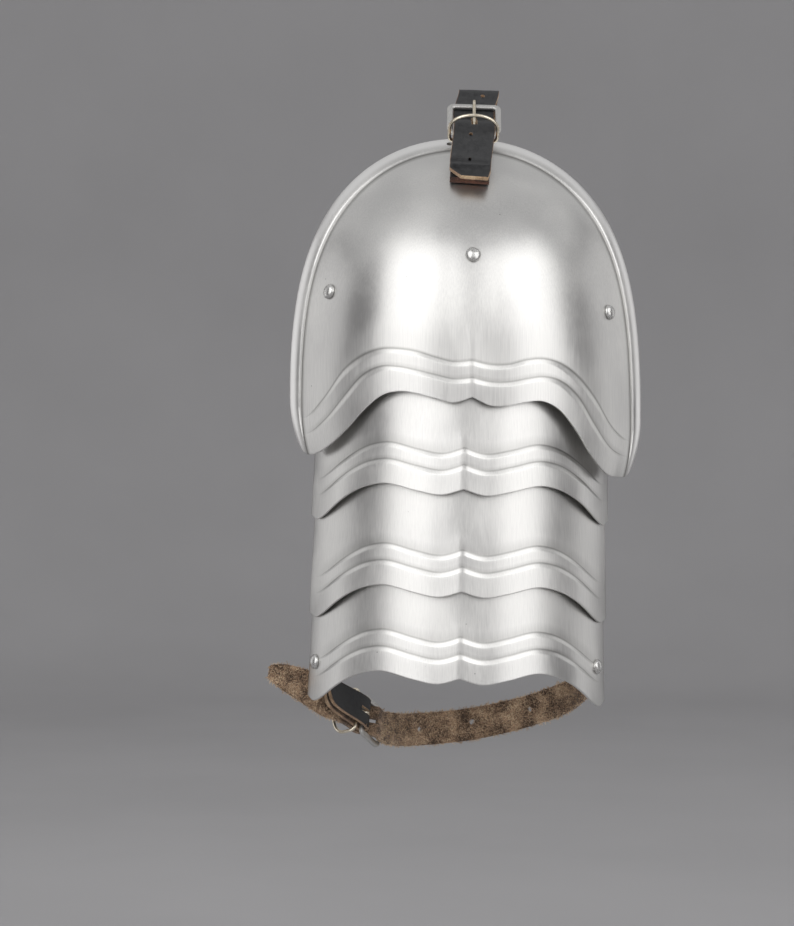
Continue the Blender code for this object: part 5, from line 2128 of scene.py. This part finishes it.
    def build(self, finishes: Finishes) -> None:
        """Builds the chape, the strap, the buckle, the ring and the two rivets.

        Args:
            finishes: the materials.
        """
        matrix = frame_matrix(Vector(self.hinge_bar), self.side, Vector(self.buckle_way))
        buckle = Buckle("arm_buckle", matrix, self.width, self.buckle_length)
        self.build_chape(buckle, finishes)
        self.build_strap(buckle, finishes)
        buckle.build_frame(finishes)
        buckle.build_tongue(finishes)
        turn = matrix.to_3x3()
        back = matrix.translation - turn @ Vector((0.0, 1.0, 0.0)) * self.ring_place
        place = frame_matrix(back, self.side, turn @ UP)
        buckle.build_ring("arm_keeper_ring", place, self.ring_length, finishes)
        self.build_rivets(finishes)


@dataclass(frozen=True)
class Softbox:
    """A rectangular light that looks at the pauldron: its bearing from the camera's side, height and size."""

    name: str
    bearing: float
    distance: float
    height: float
    size: Tuple[float, float]
    watts: float


@dataclass
class Studio:
    """A pale floor that rises into a round wall, softboxes, and the camera at the photograph's angle."""

    aim: Vector = field(default_factory=lambda: Vector((-0.01, -0.03, -0.20)))
    floor_z: float = -0.60
    floor_radius: float = 2.3
    cove_radius: float = 0.8
    wall_height: float = 2.6
    cove_steps: int = 12
    round_steps: int = 96
    paper: str = "#b6b5b6"
    paper_worn: str = "#b1b0b1"
    sky: str = "#c6c6c7"
    softboxes: Tuple[Softbox, ...] = (
        Softbox("front_left_softbox", -35.0, 1.6, 0.58, (1.22, 2.5), 14.0),
        Softbox("front_right_softbox", 46.0, 1.6, 0.48, (1.15, 2.4), 12.6),
        Softbox("left_strip", -108.0, 1.6, 0.0, (1.2, 2.0), 4.5),
        Softbox("right_strip", 112.0, 1.6, 0.0, (1.0, 2.0), 3.2),
        Softbox("front_wrap", 4.0, 2.6, 0.85, (4.2, 2.3), 20.5),
    )
    camera_place: Tuple[float, float, float] = (-0.04695, -1.283, -0.2095)
    lens: float = 85.0

    def build_floor(self) -> None:
        """Spins the floor, its curve and the wall from one profile."""
        bm = bmesh.new()
        profile = [(0.0, self.floor_z), (self.floor_radius, self.floor_z)]
        for i in range(1, self.cove_steps + 1):
            angle = math.pi / 2 * i / self.cove_steps
            profile.append((self.floor_radius + self.cove_radius * math.sin(angle),
                            self.floor_z + self.cove_radius * (1.0 - math.cos(angle))))
        profile.append((self.floor_radius + self.cove_radius, self.floor_z + self.wall_height))
        vertices = [bm.verts.new((radius, 0.0, height)) for radius, height in profile]
        edges = [bm.edges.new(pair) for pair in zip(vertices, vertices[1:])]
        bmesh.ops.spin(bm, geom=vertices + edges, cent=(0.0, 0.0, 0.0), axis=UP, angle=2.0 * math.pi,
                       steps=self.round_steps, use_merge=True)
        bmesh.ops.remove_doubles(bm, verts=bm.verts, dist=1e-5)
        bmesh.ops.recalc_face_normals(bm, faces=bm.faces)
        material, tree, shader, place = new_surface("paper_backdrop", Roughness=0.9, Specular_IOR_Level=0.1)
        cloud = add_node(tree, "ShaderNodeTexNoise", {"Vector": place, "Scale": 3.0, "Detail": 3.0})
        tone = add_node(tree, "ShaderNodeValToRGB", {"Fac": cloud.outputs["Fac"]},
                        stops=((0.3, self.paper), (0.7, self.paper_worn)))
        tree.links.new(tone.outputs["Color"], shader.inputs["Base Color"])
        floor = link_piece("studio_floor", bm, [material])
        shade(floor)

    def build_lights(self) -> None:
        """Sets the softboxes and the even light from above."""
        for box in self.softboxes:
            light = bpy.data.lights.new(box.name, "AREA")
            light.shape = "RECTANGLE"
            light.size, light.size_y = box.size
            light.energy = box.watts
            lamp = bpy.data.objects.new(box.name, light)
            bpy.context.scene.collection.objects.link(lamp)
            bearing = math.radians(box.bearing)
            lamp.location = self.aim + Vector((math.sin(bearing) * box.distance,
                                               -math.cos(bearing) * box.distance, box.height))
            lamp.rotation_euler = (self.aim - lamp.location).to_track_quat("-Z", "Y").to_euler()
            lamp.visible_camera = False
        world = bpy.data.worlds.new("studio_air")
        world.use_nodes = True
        world.node_tree.nodes["Background"].inputs["Color"].default_value = linear(self.sky)
        world.node_tree.nodes["Background"].inputs["Strength"].default_value = 1.0
        bpy.context.scene.world = world

    def build_camera(self) -> None:
        """Puts the camera where the photograph was taken."""
        lens = bpy.data.cameras.new("photograph_camera")
        lens.lens = self.lens
        camera = bpy.data.objects.new("photograph_camera", lens)
        camera.location = self.camera_place
        camera.rotation_euler = (math.pi / 2, 0.0, 0.0)
        bpy.context.scene.collection.objects.link(camera)
        bpy.context.scene.camera = camera

    def build(self) -> None:
        """Builds the floor, the lights and the camera, and shows colours as they are."""
        self.build_floor()
        self.build_lights()
        self.build_camera()
        bpy.context.scene.view_settings.view_transform = "Standard"


def main() -> None:
    """Builds the pauldron's sub-assemblies in order, then the studio."""
    logging.basicConfig(level=logging.INFO, format="%(name)s: %(message)s")
    finishes = Finishes()
    plate = ShoulderPlate()
    plate.build(finishes)
    lames = [Lame(index) for index in range(len(LAME_NAMES))]
    for lame in lames:
        lame.build(finishes)
    Hangers(plate, lames).build(finishes)
    TopFastening(plate).build(finishes)
    ArmFastening(lames[-1]).build(finishes)
    Studio().build()


if __name__ == "__main__":
    main()
